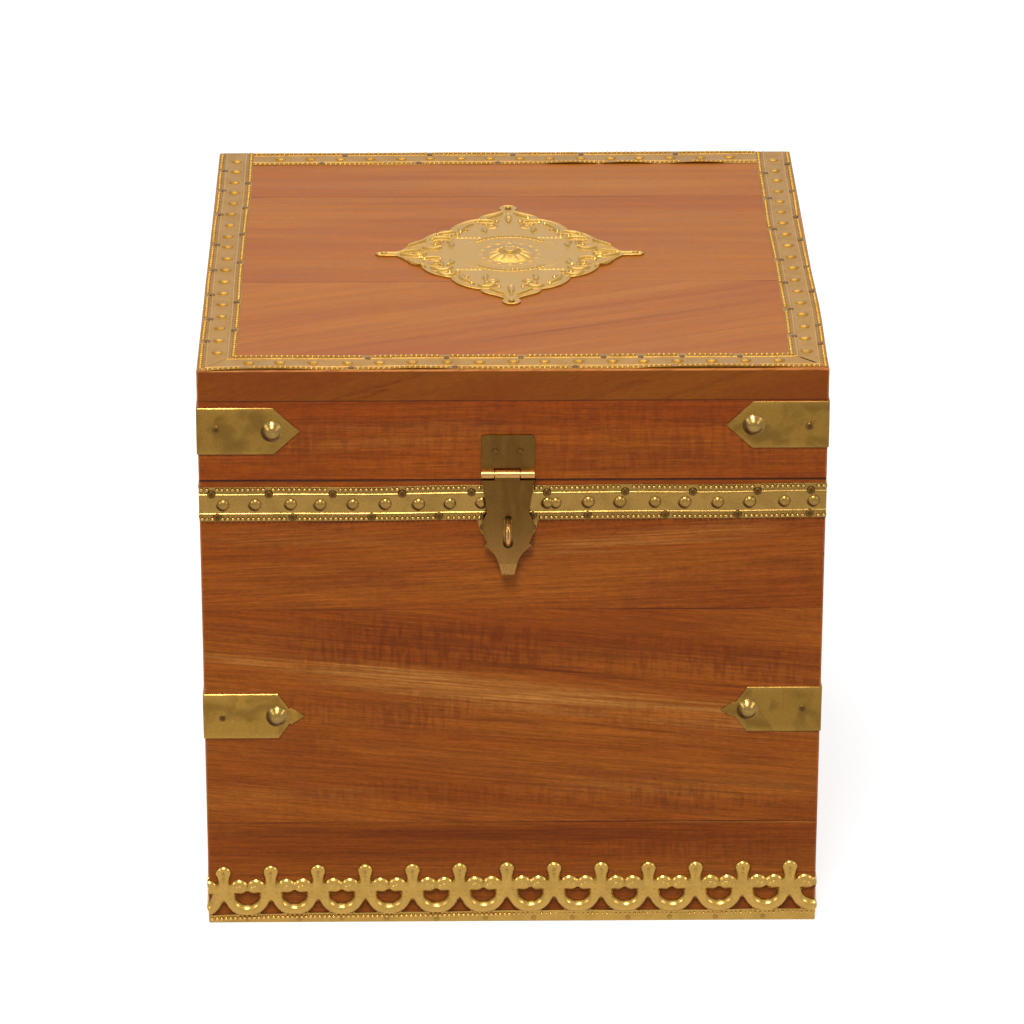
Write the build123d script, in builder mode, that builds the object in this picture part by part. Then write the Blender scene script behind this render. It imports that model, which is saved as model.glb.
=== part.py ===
from build123d import *
import math
import os

# A small cubic damchiya chest: an edge-glued hardwood box with a hinged box lid, bound with thin
# brass. Millimetres, +Z up, front towards -Y, origin at the middle of the underside.

# ---- driving dimensions: the wooden box ----
box_width = 305.0
box_depth = 308.0
box_height = 300.0
lid_height = 57.6  # from the seam to the top
wall = 15.0
lid_board_thickness = 16.0
floor_thickness = 12.0
lower_board_height = 56.2
middle_board_height = 117.0
lid_front_board_depth = 117.5
lid_back_board_depth = 68.0

# ---- driving dimensions: butt hinges at the back ----
hinge_length = 50.0
hinge_end_distance = 62.5  # from the end of the back board to the hinge's middle
hinge_inset = 3.0  # from the back face to the pin's axis
hinge_barrel_radius = 3.2
hinge_pin_radius = 1.2
hinge_leaf_margin = 1.0  # wood left inside the leaf's edge
hinge_leaf_thickness = 1.2
hinge_knuckle_gap = 0.2
hinge_clearance = 0.2
lid_opening_angle = 105.0
stop_play_angle = 1.0  # the back bevels still stand this far apart at the end of the travel
pin_clearance = 0.05
screw_radius = 1.2
screw_head_radius = 2.4
screw_length = 10.0
screw_spacing = 28.0
screw_sides = 6

# ---- driving dimensions: embossed ribbon ----
ribbon_width = 18.5
ribbon_thickness = 0.5
ribbon_seam_distance = 2.3  # bare wood between the seam and the body ribbon
bead_rail_width = 1.8
bead_rail_height = 0.7
bead_rail_inset = 0.7
stud_radius = 3.2
stud_height = 1.1
stud_sides = 6
stud_pitch = 16.0

# ---- driving dimensions: pierced border ----
border_lift = 0.4
border_thickness = 0.8
border_pitch = 23.7
border_first_tab = 7.6
border_rail_height = 5.7
border_band_height = 20.0
tab_centre_height = 27.2
tab_radius = 3.9
neck_width = 7.0
lobe_offset = 3.95
lobe_radius = 4.8
lobe_centre_height = 18.8
moon_radius = 5.8
moon_centre_height = 16.4
moon_cusp = 0.8
spandrel_half_base = 5.7
spandrel_height = 5.7
border_round_sides = 8  # lobes, tabs and moons are octagonal

# ---- driving dimensions: corner straps and their nails ----
strap_width = 24.4
strap_straight = 36.5
strap_length = 49.5
strap_thickness = 1.0
lid_strap_rise_left = 26.1  # strap's centre line above the seam
lid_strap_rise_right = 28.6
body_strap_height_left = 115.5
body_strap_height_right = 118.2
body_strap_neck = 3.0  # half width where the body strap's leaf point begins
body_strap_point = 7.0
body_strap_belly = 3.5  # the point's half width at its widest
strap_belly_share = 0.62  # and where that is along it, from the tip
dome_nail_distance = 36.0  # from the corner
dome_nail_radius = 5.7
dome_nail_height = 3.2
dome_nail_sides = 8
dome_nail_shank_width = 2.2
nail_cover = 3.0  # wood left behind the point of a long nail or a staple leg
pin_head_radius = 1.7
pin_head_height = 0.9
pin_head_sides = 6
pin_shank_width = 1.1
pin_shank_length = 7.0
nail_shoulder_share = 0.84  # a head's radius at half its height, and at its top
nail_crown_share = 0.4

# ---- driving dimensions: hasp and staple ----
hasp_offset = -2.4  # the hasp's centre line, from the middle of the front
hasp_axis_height = 3.8  # above the seam
hasp_barrel_radius = 2.2
hasp_pin_radius = 0.9
hasp_left_knuckle = 6.3
hasp_middle_knuckle = 12.2
hasp_right_knuckle = 7.0
hasp_knuckle_gap = 0.25
hasp_notch_room = 0.7  # round the swinging knuckle, for the leaf's neck when it is up
hasp_plate_height = 20.2
hasp_plate_thickness = 1.1
hasp_plate_corner = 2.5
hasp_nail_height = 11.4  # above the barrel's axis
hasp_nail_spacing = 12.0
leaf_thickness = 1.1
leaf_recess = 0.1  # the leaf's face lies this far behind the barrel's front
leaf_shoulder_gap = 0.4  # between the fixed knuckles and the leaf's shoulders
leaf_top_half_width = 12.7
waist_depth = 17.7
waist_half_width = 10.4
notch_depth = 19.2
notch_half_width = 9.9
belly_depth = 26.9
belly_half_width = 12.5
lower_notch_depth = 35.3
lower_notch_half_width = 10.3
barb_depth = 37.2
barb_half_width = 11.9
fold_depth = 47.1
fold_half_width = 4.5
fold_bow_depth = 41.5
fold_bow_half_width = 6.9
tip_length = 5.4
tip_half_width = 3.1
tip_angle = 25.0
slot_width = 5.0
slot_end_room_above = 0.7
slot_end_room_below = 3.0
staple_wire_radius = 1.4
staple_wire_sides = 8
staple_bow_facets = 8
staple_leg_spacing = 11.2
staple_centre_depth = 28.9  # below the barrel's axis
staple_reach = 13.5
staple_plate_radius = 14.6
staple_plate_thickness = 0.8
staple_plate_nail_spread = 24.0
staple_plate_nail_drop = 4.0

# ---- driving dimensions: lid medallion ----
medallion_offset_x = 0.5
medallion_offset_y = 1.0
medallion_width = 137.0
medallion_depth = 141.0
medallion_thickness = 0.7
medallion_tab_radius = 4.7
medallion_tip_length = 9.0
medallion_tip_half_width = 2.2
medallion_lobes = 4
medallion_lobe_bow = 1.9
medallion_rim_width = 2.4
medallion_rim_height = 0.7
medallion_pin_inset = 4.6
medallion_round_sides = 12  # the cartouche's ring and the boss
cartouche_radius = 22.5
cartouche_wire = 0.9
boss_radius = 9.5
boss_top_radius = 5.0
boss_height = 2.6

# ---- worked out from them ----
seam = box_height - lid_height
lid_board_base = box_height - lid_board_thickness
half_width = box_width / 2
half_depth = box_depth / 2
inner_width = box_width - 2 * wall
inner_depth = box_depth - 2 * wall
board_levels = [0.0, lower_board_height, lower_board_height + middle_board_height, seam]
hinge_centres = {"left": hinge_end_distance - half_width, "right": half_width - hinge_end_distance}
hinge_y = half_depth - hinge_inset
hinge_leaf_depth = wall - hinge_inset - hinge_leaf_margin
long_nail_length = wall - nail_cover
bevel_angle = (lid_opening_angle + stop_play_angle) / 2
ribbon_centre = seam - ribbon_seam_distance - ribbon_width / 2
ribbon_bottom = ribbon_centre - ribbon_width / 2
hasp_z = seam + hasp_axis_height
hasp_y = -half_depth - hasp_barrel_radius
leaf_stand_off = 2 * hasp_barrel_radius - leaf_recess - leaf_thickness
leaf_top_gap = hasp_barrel_radius + leaf_shoulder_gap
hasp_barrel_length = (
    hasp_left_knuckle + hasp_middle_knuckle + hasp_right_knuckle + 2 * hasp_knuckle_gap
)
hasp_left_end = hasp_offset - hasp_barrel_length / 2
hasp_middle_start = hasp_left_end + hasp_left_knuckle + hasp_knuckle_gap
hasp_middle_centre = hasp_middle_start + hasp_middle_knuckle / 2
staple_z = hasp_z - staple_centre_depth
slot_top = staple_z + staple_leg_spacing / 2 + staple_wire_radius + slot_end_room_above
slot_bottom = staple_z - staple_leg_spacing / 2 - staple_wire_radius - slot_end_room_below
pin_hole_width = pin_shank_width + 2 * pin_clearance
margin = 1.0  # how far a cutting shape runs past what it cuts

os.makedirs("parts", exist_ok=True)


def save(piece, name):
    piece.part.label = name
    export_step(piece.part, f"parts/{name}.step")


# ---- planes: each looks at one face from outside, x to the right, y up ----
def front_plane(out=0.0):
    return Plane(origin=(0, -half_depth - out, 0), x_dir=(1, 0, 0), z_dir=(0, -1, 0))


def back_plane(out=0.0):
    return Plane(origin=(0, half_depth + out, 0), x_dir=(-1, 0, 0), z_dir=(0, 1, 0))


def left_plane(out=0.0):
    return Plane(origin=(-half_width - out, 0, 0), x_dir=(0, -1, 0), z_dir=(-1, 0, 0))


def right_plane(out=0.0):
    return Plane(origin=(half_width + out, 0, 0), x_dir=(0, 1, 0), z_dir=(1, 0, 0))


# ---- where the straps stand: at each corner, the two faces, the side of the corner along ----
# ---- each face's own x, and half of that face's width ----
strap_corners = {
    "front_left": [(front_plane, -1, half_width), (left_plane, 1, half_depth)],
    "front_right": [(front_plane, 1, half_width), (right_plane, -1, half_depth)],
    "back_left": [(back_plane, 1, half_width), (left_plane, -1, half_depth)],
    "back_right": [(back_plane, -1, half_width), (right_plane, 1, half_depth)],
}


def strap_height(corner, on_lid):
    on_left = corner.endswith("left")
    if on_lid:
        return seam + (lid_strap_rise_left if on_left else lid_strap_rise_right)
    return body_strap_height_left if on_left else body_strap_height_right


def dome_nail_places(on_lid):
    """The plane maker and the (x, z) place of the nail on every leg of every strap."""
    places = []
    for corner, legs in strap_corners.items():
        for plane, side, half in legs:
            places.append((plane, side * (half - dome_nail_distance), strap_height(corner, on_lid)))
    return places


def drill_square(places, width, depth):
    """Blind square holes from the box's faces inwards, in the part under construction."""
    for plane, x, z in places:
        with BuildSketch(plane()) as mouth:
            with Locations((x, z)):
                Rectangle(width + 2 * pin_clearance, width + 2 * pin_clearance)
        extrude(mouth.sketch, amount=-depth, mode=Mode.SUBTRACT)


def drill_wire(places, depth):
    """Blind holes for the staple's legs, in the part under construction."""
    for plane, x, z in places:
        with BuildSketch(plane()) as mouth:
            with Locations((x, z)):
                RegularPolygon(staple_wire_radius + pin_clearance, staple_wire_sides)
        extrude(mouth.sketch, amount=-depth, mode=Mode.SUBTRACT)


def frustum(level, base_radius, top_radius, height, sides):
    """A faceted cone upwards from the given level, in the part under construction."""
    run = (base_radius - top_radius) * math.cos(math.pi / sides)
    with BuildSketch(Plane.XY.offset(level)) as base:
        RegularPolygon(base_radius, sides)
    extrude(base.sketch, amount=height, taper=math.degrees(math.atan2(run, height)))


def low_dome(radius, height, sides):
    """A faceted dome on the XY plane, in the part under construction."""
    shoulder = radius * nail_shoulder_share
    frustum(0, radius, shoulder, height / 2, sides)
    frustum(height / 2, shoulder, radius * nail_crown_share, height / 2, sides)


def square_shank(width, length):
    """A square shank downwards from the XY plane, in the part under construction."""
    with BuildSketch(Plane.XY) as section:
        Rectangle(width, width)
    extrude(section.sketch, amount=-length)


def set_copies(piece, places, out):
    """Copies of one fastener, its head standing on the plane that lies out from each face."""
    for plane, x, z in places:
        with Locations(plane(out)):
            with Locations((x, z)):
                add(piece.part)


def screw_places(centre_x):
    y = hinge_y - (hinge_leaf_depth + hinge_barrel_radius) / 2
    return [(centre_x + side * screw_spacing / 2, y) for side in (-1, 1)]


def knuckle_spans(centre_x):
    """Start and end of the left, middle and right knuckle along X."""
    pitch = hinge_length / 3
    start = centre_x - hinge_length / 2
    gap = hinge_knuckle_gap / 2
    return [
        (start, start + pitch - gap),
        (start + pitch + gap, start + 2 * pitch - gap),
        (start + 2 * pitch + gap, start + hinge_length),
    ]


def rod_along_x(x_start, x_end, y, z, radius, mode=Mode.ADD):
    """A round bar along X in the part under construction."""
    with BuildSketch(Plane(origin=(x_start, y, z), x_dir=(0, 1, 0), z_dir=(1, 0, 0))) as end:
        Circle(radius)
    extrude(end.sketch, amount=x_end - x_start, mode=mode)


def cut_hinge_seat(up):
    """Housings for both hinges and the stop bevel, in the back board below (up=-1) or rail above."""
    for centre_x in hinge_centres.values():
        with BuildSketch(Plane.XY.offset(seam)) as housing:
            with Locations((centre_x, hinge_y - hinge_leaf_depth / 2)):
                Rectangle(hinge_length, hinge_leaf_depth)
        extrude(housing.sketch, amount=up * hinge_leaf_thickness, mode=Mode.SUBTRACT)
        rod_along_x(
            centre_x - hinge_length / 2 - hinge_clearance,
            centre_x + hinge_length / 2 + hinge_clearance,
            hinge_y,
            seam,
            hinge_barrel_radius + hinge_clearance,
            Mode.SUBTRACT,
        )
        with BuildSketch(Plane.XY.offset(seam)) as screw_holes:
            with Locations(*screw_places(centre_x)):
                RegularPolygon(screw_radius + pin_clearance, screw_sides)
        extrude(screw_holes.sketch, amount=up * (screw_length + margin), mode=Mode.SUBTRACT)
    bevel_run = hinge_inset + margin
    bevel_rise = bevel_run * math.tan(math.radians(bevel_angle))
    with BuildSketch(Plane.YZ.offset(-half_width - margin)) as bevel:
        with BuildLine():
            Polyline(
                (hinge_y, seam),
                (hinge_y + bevel_run, seam),
                (hinge_y + bevel_run, seam + up * bevel_rise),
                close=True,
            )
        make_face()
    extrude(bevel.sketch, amount=box_width + 2 * margin, mode=Mode.SUBTRACT)


# ======== body: walls, edge-glued from three boards each ========
board_names = ["lower", "middle", "upper"]
staple_legs = [staple_z - staple_leg_spacing / 2, staple_z + staple_leg_spacing / 2]
staple_leg_places = [(front_plane, hasp_offset, z) for z in staple_legs]
plate_nail_places = [
    (front_plane, hasp_offset + side * staple_plate_nail_spread / 2, ribbon_bottom - staple_plate_nail_drop)
    for side in (-1, 1)
]

for wall_name, size_x, size_y, centre_x, centre_y in [
    ("front", box_width, wall, 0, -half_depth + wall / 2),
    ("back", box_width, wall, 0, half_depth - wall / 2),
    ("left", wall, inner_depth, -half_width + wall / 2, 0),
    ("right", wall, inner_depth, half_width - wall / 2, 0),
]:
    for board_name, low, high in zip(board_names, board_levels, board_levels[1:]):
        with BuildPart() as board:
            with BuildSketch(Plane.XY.offset(low)):
                with Locations((centre_x, centre_y)):
                    Rectangle(size_x, size_y)
            extrude(amount=high - low)
            drill_square(dome_nail_places(False), dome_nail_shank_width, long_nail_length + margin)
            if wall_name == "front":
                drill_wire(staple_leg_places, long_nail_length + margin)
                drill_square(plate_nail_places, pin_shank_width, pin_shank_length + margin)
            if wall_name == "back" and board_name == "upper":
                cut_hinge_seat(-1)
        save(board, f"{wall_name}_board_{board_name}")

with BuildPart() as bottom_panel:
    with BuildSketch(Plane.XY):
        Rectangle(inner_width, inner_depth)
    extrude(amount=floor_thickness)
save(bottom_panel, "bottom_panel")

# ======== lid: three top boards on a frame of four rails ========
medallion_x = medallion_offset_x
medallion_y = medallion_offset_y
medallion_pin_reach_x = medallion_width / 2 - medallion_pin_inset
medallion_pin_reach_y = medallion_depth / 2 - medallion_pin_inset
medallion_pin_places = [
    (medallion_x - medallion_pin_reach_x, medallion_y),
    (medallion_x + medallion_pin_reach_x, medallion_y),
    (medallion_x, medallion_y - medallion_pin_reach_y),
    (medallion_x, medallion_y + medallion_pin_reach_y),
]
front_joint = -half_depth + lid_front_board_depth
back_joint = half_depth - lid_back_board_depth
for board_name, low_y, high_y in [
    ("front", -half_depth, front_joint),
    ("middle", front_joint, back_joint),
    ("back", back_joint, half_depth),
]:
    with BuildPart() as lid_board:
        with BuildSketch(Plane.XY.offset(lid_board_base)):
            with Locations((0, (low_y + high_y) / 2)):
                Rectangle(box_width, high_y - low_y)
        extrude(amount=lid_board_thickness)
        with BuildSketch(Plane.XY.offset(box_height)):
            with Locations(*medallion_pin_places):
                Rectangle(pin_hole_width, pin_hole_width)
        extrude(amount=-pin_shank_length - margin, mode=Mode.SUBTRACT)
    save(lid_board, f"lid_board_{board_name}")

hasp_nail_places = [
    (front_plane, hasp_offset + side * hasp_nail_spacing / 2, hasp_z + hasp_nail_height)
    for side in (-1, 1)
]
for rail_name, size_x, size_y, centre_x, centre_y in [
    ("front", box_width, wall, 0, -half_depth + wall / 2),
    ("back", box_width, wall, 0, half_depth - wall / 2),
    ("left", wall, inner_depth, -half_width + wall / 2, 0),
    ("right", wall, inner_depth, half_width - wall / 2, 0),
]:
    with BuildPart() as rail:
        with BuildSketch(Plane.XY.offset(seam)):
            with Locations((centre_x, centre_y)):
                Rectangle(size_x, size_y)
        extrude(amount=lid_board_base - seam)
        drill_square(dome_nail_places(True), dome_nail_shank_width, long_nail_length + margin)
        if rail_name == "front":
            drill_square(hasp_nail_places, pin_shank_width, pin_shank_length + margin)
        if rail_name == "back":
            cut_hinge_seat(1)
    save(rail, f"lid_{rail_name}_rail")


# ======== butt hinges ========
with BuildPart() as countersink:
    frustum(
        0,
        screw_head_radius + pin_clearance,
        screw_radius + pin_clearance,
        hinge_leaf_thickness,
        screw_sides,
    )

with BuildPart() as screw:
    frustum(0, screw_head_radius, screw_radius, hinge_leaf_thickness, screw_sides)
    with BuildSketch(Plane.XY.offset(hinge_leaf_thickness)) as screw_shank:
        RegularPolygon(screw_radius, screw_sides)
    extrude(screw_shank.sketch, amount=screw_length - hinge_leaf_thickness)


def set_on_seam(piece, centre_x, up, mode=Mode.ADD):
    """A screw, or the hole for its head, at each of a leaf's screw places."""
    with Locations(Plane(origin=(0, 0, seam), x_dir=(1, 0, 0), z_dir=(0, 0, up))):
        with Locations(*[(x, up * y) for x, y in screw_places(centre_x)]):
            add(piece.part, mode=mode)


def hinge_leaf(centre_x, up, own, other):
    """One leaf with its own knuckles, relieved round the other leaf's knuckles."""
    spans = knuckle_spans(centre_x)
    with BuildSketch(Plane.XY.offset(seam)) as plate:
        with Locations((centre_x, hinge_y - hinge_leaf_depth / 2)):
            Rectangle(hinge_length, hinge_leaf_depth)
    extrude(plate.sketch, amount=up * hinge_leaf_thickness)
    for index in other:
        rod_along_x(
            spans[index][0] - hinge_knuckle_gap,
            spans[index][1] + hinge_knuckle_gap,
            hinge_y,
            seam,
            hinge_barrel_radius + hinge_clearance,
            Mode.SUBTRACT,
        )
    for index in own:
        rod_along_x(*spans[index], hinge_y, seam, hinge_barrel_radius)
    rod_along_x(
        centre_x - hinge_length / 2 - margin,
        centre_x + hinge_length / 2 + margin,
        hinge_y,
        seam,
        hinge_pin_radius + pin_clearance,
        Mode.SUBTRACT,
    )
    set_on_seam(countersink, centre_x, up, Mode.SUBTRACT)


for hinge_name, hinge_x in hinge_centres.items():
    with BuildPart() as body_leaf:
        hinge_leaf(hinge_x, -1, own=(0, 2), other=(1,))
    save(body_leaf, f"hinge_{hinge_name}_body_leaf")

    with BuildPart() as lid_leaf:
        hinge_leaf(hinge_x, 1, own=(1,), other=(0, 2))
    save(lid_leaf, f"hinge_{hinge_name}_lid_leaf")

    with BuildPart() as hinge_pin:
        rod_along_x(hinge_x - hinge_length / 2, hinge_x + hinge_length / 2, hinge_y, seam, hinge_pin_radius)
    save(hinge_pin, f"hinge_{hinge_name}_pin")

with BuildPart() as hinge_body_screws:
    for hinge_x in hinge_centres.values():
        set_on_seam(screw, hinge_x, -1)
save(hinge_body_screws, "hinge_body_screws")

with BuildPart() as hinge_lid_screws:
    for hinge_x in hinge_centres.values():
        set_on_seam(screw, hinge_x, 1)
save(hinge_lid_screws, "hinge_lid_screws")


# ======== embossed ribbons ========
with BuildPart() as ribbon_stud:
    with BuildSketch(Plane.XY) as stud_foot:
        RegularPolygon(stud_radius, stud_sides)
    loft([stud_foot.sketch, Vertex(0, 0, stud_height)])


def ribbon_strip(start, along, across, length):
    """A strip with two bead rails and a row of studs; start is on its centre line."""
    section = Plane(origin=start, x_dir=across, z_dir=along)
    rail_centre = ribbon_width / 2 - bead_rail_inset - bead_rail_width / 2
    with BuildSketch(section) as profile:
        with Locations((0, ribbon_thickness / 2)):
            Rectangle(ribbon_width, ribbon_thickness)
        with Locations((-rail_centre, 0), (rail_centre, 0)):
            Rectangle(
                bead_rail_width,
                ribbon_thickness + bead_rail_height,
                align=(Align.CENTER, Align.MIN),
            )
    extrude(profile.sketch, amount=length)
    middle = section.origin + section.z_dir * (length / 2) + section.y_dir * ribbon_thickness
    with Locations(Plane(origin=middle, x_dir=section.z_dir, z_dir=section.y_dir)):
        with GridLocations(stud_pitch, 0, int(length / stud_pitch), 1):
            add(ribbon_stud.part)


def cut_triangle(plane, corners):
    with BuildSketch(plane) as corner:
        with BuildLine():
            Polyline(*corners, close=True)
        make_face()
    extrude(corner.sketch, amount=ribbon_thickness + stud_height + margin, mode=Mode.SUBTRACT)


ribbon_wrap = ribbon_thickness  # the front strip covers the side strips' ends
with BuildPart() as body_ribbon_front:
    ribbon_strip(
        (-half_width - ribbon_wrap, -half_depth, ribbon_centre),
        (1, 0, 0),
        (0, 0, 1),
        box_width + 2 * ribbon_wrap,
    )
    for z in staple_legs:
        with BuildSketch(front_plane()):
            with Locations((hasp_offset, z)):
                RegularPolygon(staple_wire_radius + pin_clearance, staple_wire_sides)
        extrude(amount=ribbon_thickness + stud_height + margin, mode=Mode.SUBTRACT)
save(body_ribbon_front, "body_ribbon_front")

with BuildPart() as body_ribbon_left:
    ribbon_strip((-half_width, half_depth, ribbon_centre), (0, -1, 0), (0, 0, 1), box_depth)
save(body_ribbon_left, "body_ribbon_left")

with BuildPart() as body_ribbon_right:
    ribbon_strip((half_width, -half_depth, ribbon_centre), (0, 1, 0), (0, 0, 1), box_depth)
save(body_ribbon_right, "body_ribbon_right")

top_plane = Plane.XY.offset(box_height)
ribbon_line_x = half_width - ribbon_width / 2
ribbon_line_y = half_depth - ribbon_width / 2
with BuildPart() as lid_ribbon_front:
    ribbon_strip((-half_width, -ribbon_line_y, box_height), (1, 0, 0), (0, 1, 0), box_width)
    for side in (-1, 1):
        cut_triangle(
            top_plane,
            [
                (side * half_width, -half_depth),
                (side * half_width, -half_depth + ribbon_width),
                (side * (half_width - ribbon_width), -half_depth + ribbon_width),
            ],
        )
save(lid_ribbon_front, "lid_ribbon_front")

for side_name, side in [("left", -1), ("right", 1)]:
    with BuildPart() as lid_ribbon_side:
        ribbon_strip((side * ribbon_line_x, -half_depth, box_height), (0, 1, 0), (-1, 0, 0), box_depth)
        cut_triangle(
            top_plane,
            [
                (side * half_width, -half_depth),
                (side * (half_width - ribbon_width), -half_depth),
                (side * (half_width - ribbon_width), -half_depth + ribbon_width),
            ],
        )
    save(lid_ribbon_side, f"lid_ribbon_{side_name}")

with BuildPart() as lid_ribbon_back:
    ribbon_strip(
        (-half_width + ribbon_width, ribbon_line_y, box_height),
        (1, 0, 0),
        (0, 1, 0),
        box_width - 2 * ribbon_width,
    )
save(lid_ribbon_back, "lid_ribbon_back")


# ======== pierced border ========
def border_sheet(plane, length, first_tab):
    """Rings, lobes and nail tabs standing on a rail; plane's origin is the strip's lower left."""
    tab_count = int((length - first_tab) / border_pitch) + 1
    tabs = [first_tab + border_pitch * n for n in range(tab_count)]
    rings = [first_tab + border_pitch * (n - 0.5) for n in range(tab_count + 1)]
    octagon_turn = 180 / border_round_sides
    half_turn = [180 + 360 / border_round_sides * n for n in range(border_round_sides // 2 + 1)]
    with BuildSketch(plane) as sheet:
        Rectangle(length, border_band_height, align=(Align.MIN, Align.MIN))
        with Locations(*[(x + s * lobe_offset, lobe_centre_height) for x in rings for s in (-1, 1)]):
            RegularPolygon(lobe_radius, border_round_sides, rotation=octagon_turn)
        with Locations(*[(x, 0) for x in tabs]):
            Rectangle(neck_width, tab_centre_height, align=(Align.CENTER, Align.MIN))
        with Locations(*[(x, tab_centre_height) for x in tabs]):
            RegularPolygon(tab_radius, border_round_sides, rotation=octagon_turn)
        for x in rings:
            with BuildLine():
                moon = [
                    (
                        x + moon_radius * math.cos(math.radians(angle)),
                        moon_centre_height + moon_radius * math.sin(math.radians(angle)),
                    )
                    for angle in half_turn
                ]
                Polyline(*moon, (x, moon_centre_height + moon_cusp), close=True)
            make_face(mode=Mode.SUBTRACT)
        for x in tabs:
            with BuildLine():
                Polyline(
                    (x - spandrel_half_base, border_rail_height),
                    (x + spandrel_half_base, border_rail_height),
                    (x, border_rail_height + spandrel_height),
                    close=True,
                )
            make_face(mode=Mode.SUBTRACT)
        Rectangle(
            length,
            tab_centre_height + tab_radius,
            align=(Align.MIN, Align.MIN),
            mode=Mode.INTERSECT,
        )
    extrude(sheet.sketch, amount=border_thickness)


border_length = box_width + 2 * border_thickness
with BuildPart() as border_front:
    border_sheet(
        Plane(
            origin=(-border_length / 2, -half_depth, border_lift),
            x_dir=(1, 0, 0),
            z_dir=(0, -1, 0),
        ),
        border_length,
        border_first_tab + border_thickness,
    )
save(border_front, "border_front")

side_first_tab = (box_depth - border_pitch * int(box_depth / border_pitch)) / 2 + border_pitch / 2
with BuildPart() as border_left:
    border_sheet(
        Plane(origin=(-half_width, half_depth, border_lift), x_dir=(0, -1, 0), z_dir=(-1, 0, 0)),
        box_depth,
        side_first_tab,
    )
save(border_left, "border_left")

with BuildPart() as border_right:
    border_sheet(
        Plane(origin=(half_width, -half_depth, border_lift), x_dir=(0, 1, 0), z_dir=(1, 0, 0)),
        box_depth,
        side_first_tab,
    )
save(border_right, "border_right")


# ======== corner straps ========
def strap_leg(plane_maker, side, half, height, on_lid):
    """One leg on one face: straight from the corner, then an arrow (lid) or necked point (body)."""
    corner = side * (half + strap_thickness)
    shoulder = side * (half - strap_straight)
    tip = side * (half - strap_length)
    low = height - strap_width / 2
    high = height + strap_width / 2
    with BuildSketch(plane_maker()) as leg:
        with BuildLine():
            if on_lid:
                Polyline(
                    (corner, low),
                    (shoulder, low),
                    (tip, height),
                    (shoulder, high),
                    (corner, high),
                    close=True,
                )
            else:
                neck = tip + side * body_strap_point
                belly = tip + side * body_strap_point * strap_belly_share
                Polyline(
                    (corner, low),
                    (shoulder, low),
                    (neck, height - body_strap_neck),
                    (belly, height - body_strap_belly),
                    (tip, height),
                    (belly, height + body_strap_belly),
                    (neck, height + body_strap_neck),
                    (shoulder, high),
                    (corner, high),
                    close=True,
                )
        make_face()
        with Locations((side * (half - dome_nail_distance), height)):
            hole = dome_nail_shank_width + 2 * pin_clearance
            Rectangle(hole, hole, mode=Mode.SUBTRACT)
    extrude(leg.sketch, amount=strap_thickness)


with BuildPart() as dome_nail:
    low_dome(dome_nail_radius, dome_nail_height, dome_nail_sides)
    square_shank(dome_nail_shank_width, strap_thickness + long_nail_length)

for on_lid, prefix in [(False, "body"), (True, "lid")]:
    for corner, legs in strap_corners.items():
        with BuildPart() as strap:
            for plane, side, half in legs:
                strap_leg(plane, side, half, strap_height(corner, on_lid), on_lid)
        save(strap, f"{prefix}_strap_{corner}")

    with BuildPart() as dome_nails:
        set_copies(dome_nail, dome_nail_places(on_lid), strap_thickness)
    save(dome_nails, f"{prefix}_strap_dome_nails")

# ======== hasp: fixed plate and pin on the lid ========
with BuildPart() as hasp_plate:
    with BuildSketch(front_plane()):
        with Locations((hasp_offset, hasp_z)):
            Rectangle(hasp_barrel_length, hasp_plate_height, align=(Align.CENTER, Align.MIN))
        fillet(vertices().group_by(Axis.Y)[-1], hasp_plate_corner)
        with Locations(*[(x, z) for _, x, z in hasp_nail_places]):
            Rectangle(pin_hole_width, pin_hole_width, mode=Mode.SUBTRACT)
    extrude(amount=hasp_plate_thickness)
    rod_along_x(
        hasp_middle_start - hasp_knuckle_gap,
        hasp_middle_start + hasp_middle_knuckle + hasp_knuckle_gap,
        hasp_y,
        hasp_z,
        hasp_barrel_radius + hasp_notch_room,
        Mode.SUBTRACT,
    )
    rod_along_x(hasp_left_end, hasp_left_end + hasp_left_knuckle, hasp_y, hasp_z, hasp_barrel_radius)
    rod_along_x(
        hasp_middle_start + hasp_middle_knuckle + hasp_knuckle_gap,
        hasp_left_end + hasp_barrel_length,
        hasp_y,
        hasp_z,
        hasp_barrel_radius,
    )
    rod_along_x(
        hasp_left_end - margin,
        hasp_left_end + hasp_barrel_length + margin,
        hasp_y,
        hasp_z,
        hasp_pin_radius + pin_clearance,
        Mode.SUBTRACT,
    )
save(hasp_plate, "hasp_plate")

with BuildPart() as hasp_pin:
    rod_along_x(hasp_left_end, hasp_left_end + hasp_barrel_length, hasp_y, hasp_z, hasp_pin_radius)
save(hasp_pin, "hasp_pin")

with BuildPart() as small_nail:
    low_dome(pin_head_radius, pin_head_height, pin_head_sides)
    square_shank(pin_shank_width, pin_shank_length)

with BuildPart() as hasp_plate_nails:
    set_copies(small_nail, hasp_nail_places, hasp_plate_thickness)
save(hasp_plate_nails, "hasp_plate_nails")


# ======== hasp: swinging leaf ========
def leaf_point(side, half_width_there, depth):
    return (hasp_offset + side * half_width_there, hasp_z - depth)


def leaf_edge(side):
    """One edge of the leaf, from its shoulder down to the fold."""
    return [
        leaf_point(side, leaf_top_half_width, leaf_top_gap),
        leaf_point(side, waist_half_width, waist_depth),
        leaf_point(side, notch_half_width, notch_depth),
    ]


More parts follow.
